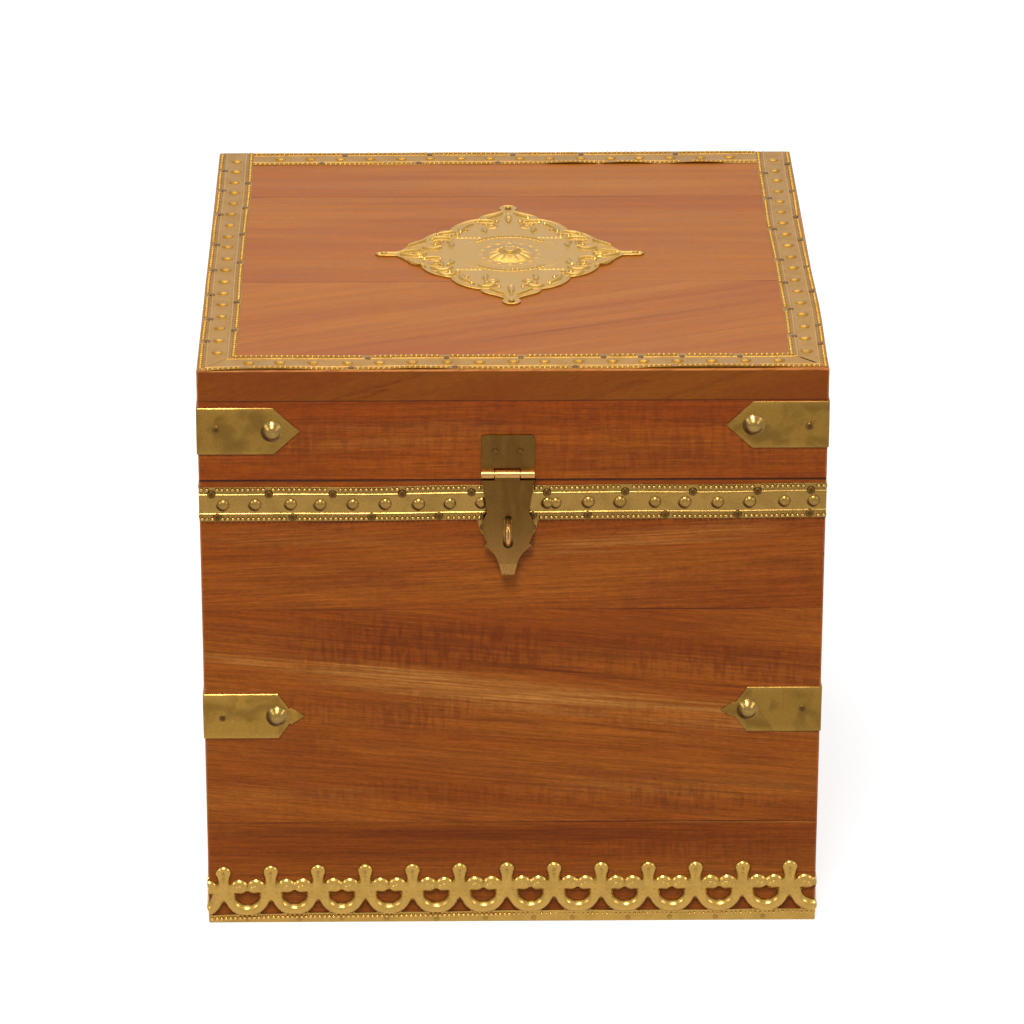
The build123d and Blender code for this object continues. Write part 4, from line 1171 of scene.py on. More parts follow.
class CHEST_OT_ribbons(bpy.types.Operator):
    """Lay the embossed ribbon below the seam and round the lid"""

    bl_idname = "chest.ribbons"
    bl_label = "Ribbons"

    def execute(self, context):
        settings = context.scene.chest_ribbon
        tones = context.scene.chest_brass
        body_brass = brass("ribbon_brass", tones.ribbon, tones.tarnish, gloss=0.21, patch=0.4, grain=0.2)
        lid_brass = brass("lid_ribbon_brass", tones.lid_ribbon, tones.tarnish)
        self.body_strips(settings, body_brass)
        self.lid_strips(settings, lid_brass)
        return {"FINISHED"}

    def body_strips(self, settings, material):
        """The strips under the seam: the front's domes and tacks are given one by one."""
        # the domes' painted shade lies to their lower left
        shade_side = (-0.6, -0.8)
        height = centre_of("body_ribbon_front")[2]
        # the strip is pieced behind the hasp, where two domes meet
        domes = in_mm(-140.9, -125.3, -108, -93.7, -77.8, -62, -45.8, -30.6, -15.1, 1)
        domes += in_mm(16.8, 20.9, 36.8, 52.2, 69.3, 83.8, 99.8, 115.4, 132.3, 146.5)
        for index, (face, (start, end)) in enumerate(SPANS.items()):
            turn = along_matrix(face, (0, height, 0))
            if face == "front":
                tacks = (
                    in_mm(-146.5, -118.6, -87.6, -53.8, -20.1, 16.5, 54.6, 87.5, 119, 145),
                    in_mm(-143.8, -107.2, -68.8, -35.9, -13.7, 9.7, 36.5, 74.2, 109.6, 144.6),
                )
                maker = RibbonMaker(settings, 3, shade_side, domes)
                lean = self.front_lean
            else:
                tacks = (spaced(start, end, 0.034, index), spaced(start, end, 0.036, index + 5))
                maker = RibbonMaker(settings, 3 + index, shade_side)
                turn = turn @ BEATEN
                lean = None
            shell = Shell()
            maker.lay(shell, turn, start, end, tacks=tacks, lean=lean)
            node = f"body_ribbon_{face}"
            shell.piece(f"{node}_embossed", "chest", material, "ribbon_brass", [node])

    def front_lean(self, s):
        """The front's strip drops a little from right to left."""
        return 0.4 * MM * (math.tanh((s - 0.04) / 0.05) - 0.75)

    def lid_strips(self, settings, material):
        """The four strips of the top: mitred in front, butted behind."""
        width, half = settings.width, settings.width / 2
        front_inset, edge_inset = 0.8 * MM, 0.3 * MM
        reach = RIGHT_X - edge_inset
        back_end, front_end = BACK_Y - edge_inset, FRONT_Y + front_inset
        # turned a quarter, the t of a side's strip points to -X
        quarter = math.pi / 2

        def front_lean(s):
            climb = 0.5 + 0.5 * math.tanh((s - 0.02) / 0.05)
            return (0.9 * climb + 0.25 * math.sin(s / 0.011)) * MM

        strips = {
            "front": {
                "turn": along_matrix("top", (0, front_end + half, 0)),
                "start": -reach,
                "end": reach,
                "mitres": (1, 1),
                "tacks": (in_mm(-70, -32, 4, 44, 62, 82, 110), in_mm(-128, -78, -28, 30, 78, 118)),
                "lean": front_lean,
                "lifts": [(-0.145, -0.095, 2.2), (-0.06, -0.03, 1.2), (0.06, 0.135, 2.4)],
            },
            "back": {
                "turn": along_matrix("top", (0, back_end - half, 0)),
                "start": -reach + width,
                "end": reach - width,
                "tacks": (spaced(-0.13, 0.13, 0.045, 23), spaced(-0.13, 0.13, 0.05, 24)),
                "lean": lambda s: 0.5 * MM * math.sin(s / 0.07),
                "lifts": [(0.020, 0.050, 2.0), (0.050, 0.078, 2.0), (0.088, 0.118, 2.0)],
            },
            "left": {
                "turn": along_matrix("top", (half - reach, 0, 0), quarter),
                "start": front_end + width,
                "end": back_end,
                "mitres": (-1, 0),
                "tacks": (in_mm(-116, -87, -54, -20, 16, 60, 96, 126), in_mm(-102, -64, -9, 31, 70, 107)),
            },
            "right": {
                "turn": along_matrix("top", (reach - half, 0, 0), quarter),
                "start": front_end,
                "end": back_end,
                "mitres": (1, 0),
                "tacks": (
                    in_mm(-112, -76, -40, -8, 36, 82, 120),
                    in_mm(-122, -98, -52, -18, 20, 54, 92, 134),
                ),
                "lean": lambda s: 0.5 * MM * math.sin(s / 0.05),
            },
        }
        # worn lower than the ribbon of the front
        worn = Matrix.Diagonal((1, 1, 0.5, 1))
        for index, (side, strip) in enumerate(strips.items()):
            shell = Shell()
            strip["turn"] = strip["turn"] @ worn
            RibbonMaker(settings, 11 + index, tack_radius=1.35 * MM).lay(shell, **strip)
            node = f"lid_ribbon_{side}"
            shell.piece(f"{node}_embossed", "lid", material, "ribbon_brass", [node])


# ======== pierced border ========
RAIL_TOP = 6.1 * MM
RING_CENTRE = 17.4 * MM
RING_RADIUS = 12.6 * MM
MOON_RADIUS = 5.8 * MM
LOBE_CENTRE = 20.6 * MM
LOBE_OFFSET = 4.2 * MM
LOBE_RADIUS = 5.0 * MM
TAB_CENTRE = 29.4 * MM
TAB_RADIUS = 4.0 * MM
NECK_HALF = 3.2 * MM
BORDER_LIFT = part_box("border_front")[0].z


def border_forms(settings, first_tab, length, drift):
    """The outline and the relief of a pierced border, as functions of s and t."""
    pitch = settings.pitch

    def cell(s):
        """Distance from the nearest ring's centre line, and from the nearest tab's."""
        from_tab = (s - first_tab + pitch / 2) % pitch - pitch / 2
        from_ring = (s - first_tab) % pitch - pitch / 2
        return from_ring, from_tab

    def moon(from_ring, t):
        """Positive inside a ring's opening: a bowl with a cusped lid."""
        away = np.abs(from_ring)
        lid = (
            RING_CENTRE
            + 1.35 * MM * ridge(away, 0, 1.15 * MM)
            - 0.30 * MM * ridge(away, 3.4 * MM, 1.5 * MM)
        )
        bowl = MOON_RADIUS - np.hypot(from_ring, (t - RING_CENTRE) * 1.02)
        return np.minimum(bowl, lid - t)

    def neck_half(t):
        """Half the width of a tab's neck, which widens into the rings below and the tab above."""
        below = np.clip(25.0 * MM - t, 0, None)
        return NECK_HALF + 0.075 / MM * below**2 + 0.16 * np.clip(t - 25.5 * MM, 0, None)

    def lobes(from_ring, t):
        return LOBE_RADIUS - np.hypot(np.abs(from_ring) - LOBE_OFFSET, t - LOBE_CENTRE)

    def sheet(s, t):
        """Positive on the unpierced metal, and its distance from the outer edge there."""
        from_ring, from_tab = cell(s)
        ring = RING_RADIUS - np.hypot(from_ring, t - RING_CENTRE)
        ring = np.minimum(ring, RING_CENTRE + 2 * MM - t)
        rail = RAIL_TOP + 0.12 * MM * np.sin(s / (7 * MM)) - t
        head = TAB_RADIUS - np.hypot(from_tab, t - TAB_CENTRE)
        neck = np.minimum.reduce([neck_half(t) - np.abs(from_tab), TAB_CENTRE - t, t - 12.6 * MM])
        return np.maximum.reduce([ring, rail, lobes(from_ring, t), head, neck])

    def inside(s, t):
        t = t - drift(s)
        metal = np.minimum(sheet(s, t), -moon(cell(s)[0], t))
        return np.minimum.reduce([metal, t + drift(s) - BORDER_LIFT, s, length - s])

    def band_edge(from_ring, t):
        """How far below the m-shaped outer edge of the two lobes."""
        away = np.abs(from_ring)
        across = np.clip((away - LOBE_OFFSET) / LOBE_RADIUS, -1, 1)
        lean = np.sqrt(held(1 - across**2))
        below = (LOBE_CENTRE + LOBE_RADIUS * lean - t) * np.clip(lean, 0.4, 1)
        return np.where(away < LOBE_OFFSET, below, lobes(from_ring, t))

    def height(s, t):
        t = t - drift(s)
        from_ring, from_tab = cell(s)
        aside = np.abs(from_tab)
        hole = -moon(from_ring, t)
        off_rail = held((t - RAIL_TOP + 0.4 * MM) / (1.2 * MM))
        ring = RING_RADIUS - np.hypot(from_ring, t - RING_CENTRE)
        head = TAB_RADIUS - np.hypot(from_tab, t - TAB_CENTRE)
        neck = np.minimum(np.minimum(neck_half(t), 4.2 * MM) - aside, TAB_CENTRE + 1 * MM - t)
        rim = band_edge(from_ring, t)
        # added up, the forms run into one another without creases
        side = np.minimum(ring, RING_CENTRE + 2 * MM - t)
        joined = sum(np.clip(form, 0, None) for form in (side, rim, neck, head))
        low = 1 / (1 + np.exp((t - RING_CENTRE - 0.5 * MM) / (0.8 * MM)))
        # a fat round bowl below; the bands above and the tab swell less
        bowl = 1 - (1 - held(np.minimum(hole, ring) / (3.3 * MM))) ** 2
        upper = 1 - (1 - held(np.minimum(hole, joined) / (4.0 * MM))) ** 2
        bowl_height = settings.ring_relief * bowl * low * off_rail
        upper_height = 0.86 * settings.ring_relief * upper * held((t - 12.5 * MM) / (3 * MM))
        # the tab has a low flat rim
        tab = 1.3 * MM * held(np.maximum(head, neck) / (1.2 * MM)) ** 0.8
        on_tab = held((t - 24.5 * MM) / (2.5 * MM)) * held((4.5 * MM - aside) / MM)
        upper_height = upper_height * (1 - on_tab) + tab * on_tab
        raised = np.maximum(bowl_height, upper_height)
        # a groove parts the rolled rim of the lobes from the lip over the opening
        groove = ridge(rim, 2.4 * MM, 0.8 * MM)
        groove *= held((t - LOBE_CENTRE + 1 * MM) / (1.5 * MM))
        groove *= held((aside - 3.0 * MM) / (1.5 * MM))
        groove *= held((hole - 1.4 * MM) / (1.2 * MM))
        raised -= 0.6 * MM * groove
        # the tab is dished round its nail, and a channel runs down its neck
        dish = np.hypot(from_tab, t - TAB_CENTRE + 0.2 * MM)
        raised -= 1.0 * MM * ridge(dish, 0, 1.3 * MM)
        run = held((t - 21 * MM) / (3 * MM)) * (t < TAB_CENTRE - 2.2 * MM)
        raised -= 0.45 * MM * ridge(from_tab, 0, 1.2 * MM) * run
        rail_edge = ridge(t, RAIL_TOP - 0.6 * MM, 0.45 * MM)
        raised += 0.4 * MM * rail_edge * (hole > 5 * MM)
        return settings.thickness + np.clip(raised, 0, None)

    return inside, height


class CHEST_OT_border(bpy.types.Operator):
    """Lay the pierced border along the foot of the front and sides"""

    bl_idname = "chest.border"
    bl_label = "Border"

    def execute(self, context):
        settings = context.scene.chest_border
        tones = context.scene.chest_brass
        material = brass(
            "border_brass",
            tones.border,
            scaled(tones.border, 0.45),
            gloss=0.17,
            patch=0.4,
            patch_size=0.008,
            grain=0.15,
            depth=0.6,
        )
        for index, (face, (start, end)) in enumerate(SPANS.items()):
            length = end - start
            first_tab = (7.6 if face == "front" else 11.8) * MM
            # nailed on a little askew, its lower edge trimmed level with the foot
            climb = 2.3 if face == "front" else 0.4

            def drift(s):
                return (0.5 - climb * np.exp(-s / (80 * MM)) + 0.18 * np.sin(s / (21 * MM))) * MM

            inside, height = border_forms(settings, first_tab, length, drift)
            shell = Shell()
            turn = along_matrix(face, (start, 0, 0))
            if face != "front":
                turn = turn @ BEATEN
            relief_sheet(
                shell,
                turn,
                inside,
                height,
                (-1 * MM, 0.0),
                (length + 1 * MM, TAB_CENTRE + TAB_RADIUS + 2 * MM),
                settings.step,
                contrast=1.0 * MM,
                crest=0.3,
            )
            self.add_nails(shell, turn, length, first_tab, settings, drift, index)
            node = f"border_{face}"
            shell.piece(f"{node}_embossed", "chest", material, "border_brass", [node])
        return {"FINISHED"}

    def add_nails(self, shell, turn, length, first_tab, settings, drift, seed):
        """Tacks on the tabs and the rail, and the rail's beads."""
        shaker = random.Random(seed)
        head = tack(1.3 * MM)
        count = int((length - first_tab) / settings.pitch) + 1
        for n in range(count):
            s = first_tab + n * settings.pitch + shaker.uniform(-0.4, 0.4) * MM
            t = TAB_CENTRE + float(drift(s)) + shaker.uniform(-0.3, 0.5) * MM
            out = settings.thickness + 0.25 * MM
            shell.add_form(head, turn @ Matrix.Translation((s, t, out)))
        for n in range(count - 1):
            s = first_tab + settings.pitch * (n + 0.5) + shaker.uniform(-2.5, 2.5) * MM
            t = (2.1 + 0.3 * shaker.uniform(-1, 1)) * MM
            shell.add_form(head, turn @ Matrix.Translation((s, t, settings.thickness - 0.1 * MM)))
        bead = turned(
            [
                (1.15 * MM, -0.1 * MM, 0.3),
                (1.0 * MM, 0.5 * MM, 0.5),
                (0.6 * MM, 0.95 * MM, 0.9),
                (0.0, 1.15 * MM, 1.0),
            ],
            8,
        )
        s = 1.5 * MM
        while s < length - MM:
            # the beads fade out towards one end of the strip
            size = 1.0 if s < 0.5 * length else shaker.uniform(0.3, 0.75)
            t = RAIL_TOP - 2.0 * MM + float(drift(s))
            place = Matrix.Translation((s, t, settings.thickness))
            shell.add_form(bead, turn @ place @ Matrix.Scale(size, 4))
            s += 2.35 * MM * shaker.uniform(0.92, 1.08)


# ======== corner straps ========
STRAP_HALF = 12.2 * MM
STRAP_STRAIGHT = 36.5 * MM
STRAP_LENGTH = 49.5 * MM
STRAP_THICKNESS = 0.6 * MM
INNER_BEND = 0.2 * MM
DOME_DISTANCE = 36.0 * MM


def strap_half_height(distance, on_lid):
    """Half of the strap's height at a distance from the corner."""
    if distance <= STRAP_STRAIGHT:
        return STRAP_HALF
    tip = STRAP_LENGTH - distance
    if on_lid:
        return STRAP_HALF * tip / (STRAP_LENGTH - STRAP_STRAIGHT)
    # the arrow: its length, and half its height where it leaves the strap and where it is widest
    point, neck, belly = 7.4 * MM, 4.0 * MM, 4.7 * MM
    if tip > point:
        share = (tip - point) / (STRAP_LENGTH - STRAP_STRAIGHT - point)
        return neck + (STRAP_HALF - neck) * share
    if tip > 0.9 * point:
        return belly + (neck - belly) * (tip / point - 0.9) / 0.1
    return belly * tip / (0.9 * point)


class CHEST_OT_straps(bpy.types.Operator):
    """Bend the corner straps round the corners and nail them"""

    bl_idname = "chest.straps"
    bl_label = "Straps"

    def execute(self, context):
        tones = context.scene.chest_brass
        clean, dull = (
            brass(name, scaled(tones.strap, shade), tones.tarnish, gloss=0.26, patch=0.9, patch_size=size)
            for name, shade, size in (("strap_brass", 1.0, 0.014), ("lid_strap_brass", 0.78, 0.013))
        )
        nail = brass(
            "nail_brass", tones.nail, tones.tarnish, gloss=0.2, patch=0.3, patch_size=0.006, grain=0.1
        )
        shaker = random.Random(31)
        for prefix, body in (("body", "chest"), ("lid", "lid")):
            nails, tacks = Shell(), Shell()
            for corner in ("front_left", "front_right", "back_left", "back_right"):
                node = f"{prefix}_strap_{corner}"
                height = centre_of(node)[2]
                shell = Shell()
                self.bend(shell, corner, height, prefix == "lid", shaker)
                metal = clean if node in ("body_strap_front_left", "body_strap_back_right") else dull
                shell.piece(f"{node}_bent", body, metal, "strap_brass", [node], crease=25)
                for face in corner.split("_"):
                    side = self.corner_side(face, corner)
                    half = (WIDTH if face in ("front", "back") else DEPTH) / 2
                    # the nails of the side legs are hammered nearly flat
                    rise = 3.15 * MM if face in ("front", "back") else 0.95 * MM
                    place = (side * (half - DOME_DISTANCE), height, STRAP_THICKNESS)
                    # each nail's dome is darkened towards its lower left as a painted shade
                    head = with_painted_shade(round_nail(5.5 * MM, rise, 28), (-0.9, -0.4), 5.5 * MM, 0.8)
                    nails.add_form(head, along_matrix(face, place))
                    jog = shaker.uniform(-1, 1) * MM
                    place = (side * (half - 9 * MM), height + jog, STRAP_THICKNESS - 0.15 * MM)
                    tacks.add_form(tack(1.95 * MM), along_matrix(face, place))
            nails.piece(
                f"{prefix}_dome_nails_round", body, nail, "nail_brass", [f"{prefix}_strap_dome_nails"]
            )
            tacks.piece(f"{prefix}_strap_tacks", body, nail, "nail_brass")
        return {"FINISHED"}

    def corner_sides(self, corner):
        """Which way a corner lies along X and along Y."""
        return (-1 if corner.endswith("left") else 1), (-1 if corner.startswith("front") else 1)

    def corner_side(self, face, corner):
        """Which way a corner lies along a face's own s."""
        x_side, y_side = self.corner_sides(corner)
        return {"front": x_side, "back": -x_side, "left": -y_side, "right": y_side}[face]

    def bend(self, shell, corner, height, on_lid, shaker):
        """A sheet from one arrow tip round the corner to the other, its bend a small arc."""
        x_side, y_side = self.corner_sides(corner)
        corner_x = LEFT_X if x_side < 0 else RIGHT_X
        corner_y = FRONT_Y if y_side < 0 else BACK_Y
        # the distances from the corner at which a leg has a section
        legs = [STRAP_STRAIGHT * part for part in (0.25, 0.5, 0.75, 1.0)]
        if on_lid:
            legs += [STRAP_STRAIGHT + (STRAP_LENGTH - STRAP_STRAIGHT) * part for part in (0.33, 0.66)]
        else:
            legs += [STRAP_LENGTH - back * MM for back in (10.0, 7.4, 6.66, 3.0)]
        legs.append(STRAP_LENGTH - 0.15 * MM)
        rows = 4
        waves = [shaker.uniform(0, 2 * math.pi) for _ in range(4)]

        def loop(place, out, half_height, wave):
            """A closed section: the outer skin upwards, then the wood side back down."""
            ease = 0.32 * MM
            flat = max(half_height - ease, 0.3 * half_height)
            outer = [(-half_height, STRAP_THICKNESS - ease)]
            for n in range(rows + 1):
                z = flat * (2 * n / rows - 1)
                bulge = 0.05 * MM * math.sin((height + z) / (6 * MM) + wave)
                outer.append((z, STRAP_THICKNESS + bulge))
            outer += [(half_height, STRAP_THICKNESS - ease), (half_height, 0.0), (-half_height, 0.0)]
            return [tuple(place + out * n + Vector((0, 0, height + z))) for z, n in outer]

        loops = []
        out_front, out_side = Vector((0, y_side, 0)), Vector((x_side, 0, 0))
        bend_centre = Vector((corner_x, corner_y, 0)) - (out_front + out_side) * INNER_BEND
        for distance in reversed(legs):
            place = Vector((corner_x - x_side * distance, corner_y, 0))
            half = strap_half_height(distance, on_lid)
            loops.append(loop(place, out_front, half, waves[0] + distance / (9 * MM)))
        for n in range(5):
            angle = math.pi / 2 * n / 4
            out = out_front * math.cos(angle) + out_side * math.sin(angle)
            place = bend_centre + out * INNER_BEND
            loops.append(loop(place, out, STRAP_HALF, waves[1]))
        for distance in legs:
            place = Vector((corner_x, corner_y - y_side * distance, 0))
            half = strap_half_height(distance, on_lid)
            loops.append(loop(place, out_side, half, waves[2] + distance / (9 * MM)))
        points, faces = lofted(loops)
        if x_side * y_side > 0:
            faces = [face[::-1] for face in faces]
        rim = [0.9, 0.75] + [0.5] * (rows - 1) + [0.75, 1.0, 0.2, 0.2]
        shell.add(points, faces, np.tile(rim, len(loops)))


# ======== hasp ========
HASP_S = -2.4 * MM
HASP_Z = centre_of("hasp_pin")[2]
BARREL_RADIUS = 2.2 * MM
BARREL_LENGTH = 26.0 * MM
KNUCKLES = (6.3 * MM, 12.2 * MM, 7.0 * MM)
KNUCKLE_GAP = 0.25 * MM
PLATE_HEIGHT = 20.2 * MM
PLATE_THICKNESS = 1.1 * MM
LEAF_THICKNESS = 1.1 * MM
LEAF_STAND_OFF = 3.2 * MM
FOLD_DEPTH = 47.1 * MM
TIP_LENGTH = 5.4 * MM
TIP_ANGLE = 25.0
STAPLE_Z = centre_of("staple")[2]
STAPLE_LEG = 5.6 * MM
STAPLE_WIRE = 1.4 * MM
STAPLE_REACH = 13.5 * MM


def rod(shell, start, end, radius, wear_and_painted_light=0.7, sides=28):
    """A round bar with eased ends on the axis of the hasp's hinge."""
    ease = 0.15 * MM
    length = end - start
    profile = [(0.0, 0.0), (radius - ease, 0.0), (radius, ease), (radius, length / 2)]
    profile += [(radius, length - ease), (radius - ease, length), (0.0, length)]
    form = turned([(*ring, wear_and_painted_light) for ring in profile], sides)
    turn = along_matrix("front", (start, HASP_Z, BARREL_RADIUS)) @ Matrix.Rotation(math.pi / 2, 4, "Y")
    shell.add_form(form, turn)


class CHEST_OT_hasp(bpy.types.Operator):
    """Make the hasp: fixed plate, swinging leaf, pin and nails"""

    bl_idname = "chest.hasp"
    bl_label = "Hasp"

    def execute(self, context):
        tones = context.scene.chest_brass
        dull = brass(
            "hasp_brass",
            tones.hasp,
            tones.tarnish,
            patch=0.9,
            patch_size=0.006,
            grain=0.3,
            brushed=4.0,
            polish_and_highlight=2.6,
        )
        polished = brass(
            "barrel_brass", tones.barrel, tones.tarnish, gloss=0.16, patch=0.15, patch_size=0.01, grain=0.08
        )
        self.fixed_plate(dull, polished)
        self.leaf(dull, polished)
        self.nails(dull)
        return {"FINISHED"}

    def fixed_plate(self, dull, polished):
        half = BARREL_LENGTH / 2
        corner = 2.2 * MM
        # the notch leaves room for the neck of the leaf when it is swung up
        notch = KNUCKLES[0] - half, KNUCKLES[0] + KNUCKLES[1] + 2 * KNUCKLE_GAP - half
        foot, notch_top = -1.2 * MM, 2.7 * MM
        outline = [(-half, foot), (notch[0], foot), (notch[0], notch_top)]
        outline += [(notch[1], notch_top), (notch[1], foot), (half, foot)]
        outline += arc((half - corner, PLATE_HEIGHT - corner), corner, 0, 90, 5)
        outline += arc((corner - half, PLATE_HEIGHT - corner), corner, 90, 180, 5)
        shell = Shell()
        sheet = cut_sheet(outline, [], PLATE_THICKNESS, 0.18 * MM)
        shell.add_form(sheet, along_matrix("front", (HASP_S, HASP_Z, 0)))
        shell.piece("hasp_plate_sheet", "lid", dull, "hasp_brass", ["hasp_plate"])
        barrels = Shell()
        left, right = HASP_S - half, HASP_S + half
        rod(barrels, left, left + KNUCKLES[0], BARREL_RADIUS)
        rod(barrels, right - KNUCKLES[2], right, BARREL_RADIUS)
        barrels.piece("hasp_fixed_knuckles", "lid", polished, "hasp_brass")
        pin = Shell()
        proud = 0.2 * MM
        rod(pin, left - proud, right + proud, 0.9 * MM, wear_and_painted_light=0.45, sides=16)
        pin.piece("hasp_pin_rod", "lid", polished, "hasp_brass", ["hasp_pin"])

    def leaf(self, dull, polished):
        half = BARREL_LENGTH / 2
        knuckle_start = HASP_S - half + KNUCKLES[0] + KNUCKLE_GAP

        def edge(side):
            """The leaf's outline on one side, from the shoulder down to the fold."""
            line = [(12.7, -2.35), (10.6, -16.9), (10.2, -18.2), (9.9, -19.2)]
            line += arc_through((9.9, -19.2), (12.5, -26.9), (10.3, -35.3), 12)[1:]
            line += [(11.9, -37.2)]
            line += arc_through((11.9, -37.2), (6.9, -41.5), (4.5, -47.1), 8)[1:]
            return [(side * s * MM, t * MM) for s, t in line]

        outline = edge(1) + edge(-1)[::-1]
        slot_half, slot_top, slot_bottom = 2.35 * MM, -21.2 * MM, -38.3 * MM
        slot = arc((0, slot_top - slot_half), slot_half, 0, 180, 8)
        slot += arc((0, slot_bottom + slot_half), slot_half, 180, 360, 8)
        shell = Shell()
        base = along_matrix("front", (HASP_S, HASP_Z, LEAF_STAND_OFF))
        sheet = cut_sheet(outline, [slot], LEAF_THICKNESS, 0.16 * MM)
        # paler towards the tip
        sheet["wear_and_painted_light"] = 0.50 + 0.31 * held(-sheet["points"][:, 1] / FOLD_DEPTH)
        shell.add_form(sheet, base)
        neck_start = knuckle_start - HASP_S
        neck_end = neck_start + KNUCKLES[1]
        foot, top = -3.2 * MM, -0.2 * MM
        neck = [(neck_start, foot), (neck_end, foot), (neck_end, top), (neck_start, top)]
        sunk = base @ Matrix.Translation((0, 0, -0.12 * MM))
        shell.add_form(cut_sheet(neck, [], LEAF_THICKNESS, 0.1 * MM), sunk)
        fold_half, tip_half = 4.5 * MM, 3.1 * MM
        tip = [(fold_half, 0.0), (tip_half, -TIP_LENGTH), (-tip_half, -TIP_LENGTH), (-fold_half, 0.0)]
        bend = Matrix.Translation((0, -FOLD_DEPTH, 0)) @ Matrix.Rotation(math.radians(-TIP_ANGLE), 4, "X")
        form = cut_sheet(tip, [], LEAF_THICKNESS, 0.16 * MM)
        form["wear_and_painted_light"] = np.full(len(form["points"]), 0.88)
        shell.add_form(form, base @ bend)
        shell.piece("hasp_leaf_sheet", "hasp", dull, "hasp_brass", ["hasp_leaf"])
        barrel = Shell()
        rod(barrel, knuckle_start, knuckle_start + KNUCKLES[1], BARREL_RADIUS)
        barrel.piece("hasp_leaf_knuckle", "hasp", polished, "hasp_brass")

    def nails(self, material):
        for node, body, spread, height, out in (
            ("hasp_plate_nails", "lid", 12.0 * MM, HASP_Z + 11.4 * MM, PLATE_THICKNESS),
            ("staple_plate_nails", "chest", 24.0 * MM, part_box("staple_plate")[1].z - 4 * MM, 0.8 * MM),
        ):
            shell = Shell()
            for side in (-1, 1):
                place = (HASP_S + side * spread / 2, height, out)
                shell.add_form(round_nail(1.7 * MM, 0.85 * MM, 16), along_matrix("front", place))
            shell.piece(f"{node}_round", body, material, "nail_brass", [node])


class CHEST_OT_staple(bpy.types.Operator):
    """Make the staple and the half-round plate behind it"""

    bl_idname = "chest.staple"
    bl_label = "Staple"

    def execute(self, context):
        tones = context.scene.chest_brass
        dull = brass("staple_plate_brass", tones.ribbon, tones.tarnish, patch=0.4)
        polished = brass("staple_brass", tones.barrel, tones.tarnish, gloss=0.14, patch=0.15)
        root = -4.0 * MM
        bend_start = STAPLE_REACH - STAPLE_WIRE - STAPLE_LEG
        bend = arc((bend_start, 0), STAPLE_LEG, 90, -90, 12)
        path = [(root, STAPLE_LEG), *bend, (root, -STAPLE_LEG)]
        sides = 16
        loops, wear_and_painted_light = [], []
        for n, (out, up) in enumerate(path):
            before, after = path[max(n - 1, 0)], path[min(n + 1, len(path) - 1)]
            run = Vector((after[0] - before[0], after[1] - before[1])).normalized()
            normal = Vector((-run.y, run.x))
            loop = []
            for k in range(sides):
                angle = 2 * math.pi * k / sides
                side = STAPLE_WIRE * math.cos(angle)
                lift = STAPLE_WIRE * math.sin(angle)
                loop.append((side, up + normal.y * lift, out + normal.x * lift))
                # a painted dark reflection runs along the front of the bend's upper half
                dark_reflection = up >= 0 and abs(side) < 0.3 * STAPLE_WIRE and normal.x * lift > 0
                wear_and_painted_light.append(0.05 if dark_reflection else 0.75)
            loops.append(loop)
        points, faces = lofted(loops)
        shell = Shell()
        shell.add(points, faces, wear_and_painted_light, along_matrix("front", (HASP_S, STAPLE_Z, 0)))
        shell.piece("staple_wire", "chest", polished, "hasp_brass", ["staple"], crease=60)
        low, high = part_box("staple_plate")
        radius = (high.x - low.x) / 2
        outline = arc((0, 0), radius, 180, 360, 28)
        plate = Shell()
        place = ((low.x + high.x) / 2, high.z, 0)
        plate.add_form(cut_sheet(outline, [], 0.8 * MM, 0.15 * MM), along_matrix("front", place))
        plate.piece("staple_plate_sheet", "chest", dull, "ribbon_brass", ["staple_plate"])
        return {"FINISHED"}


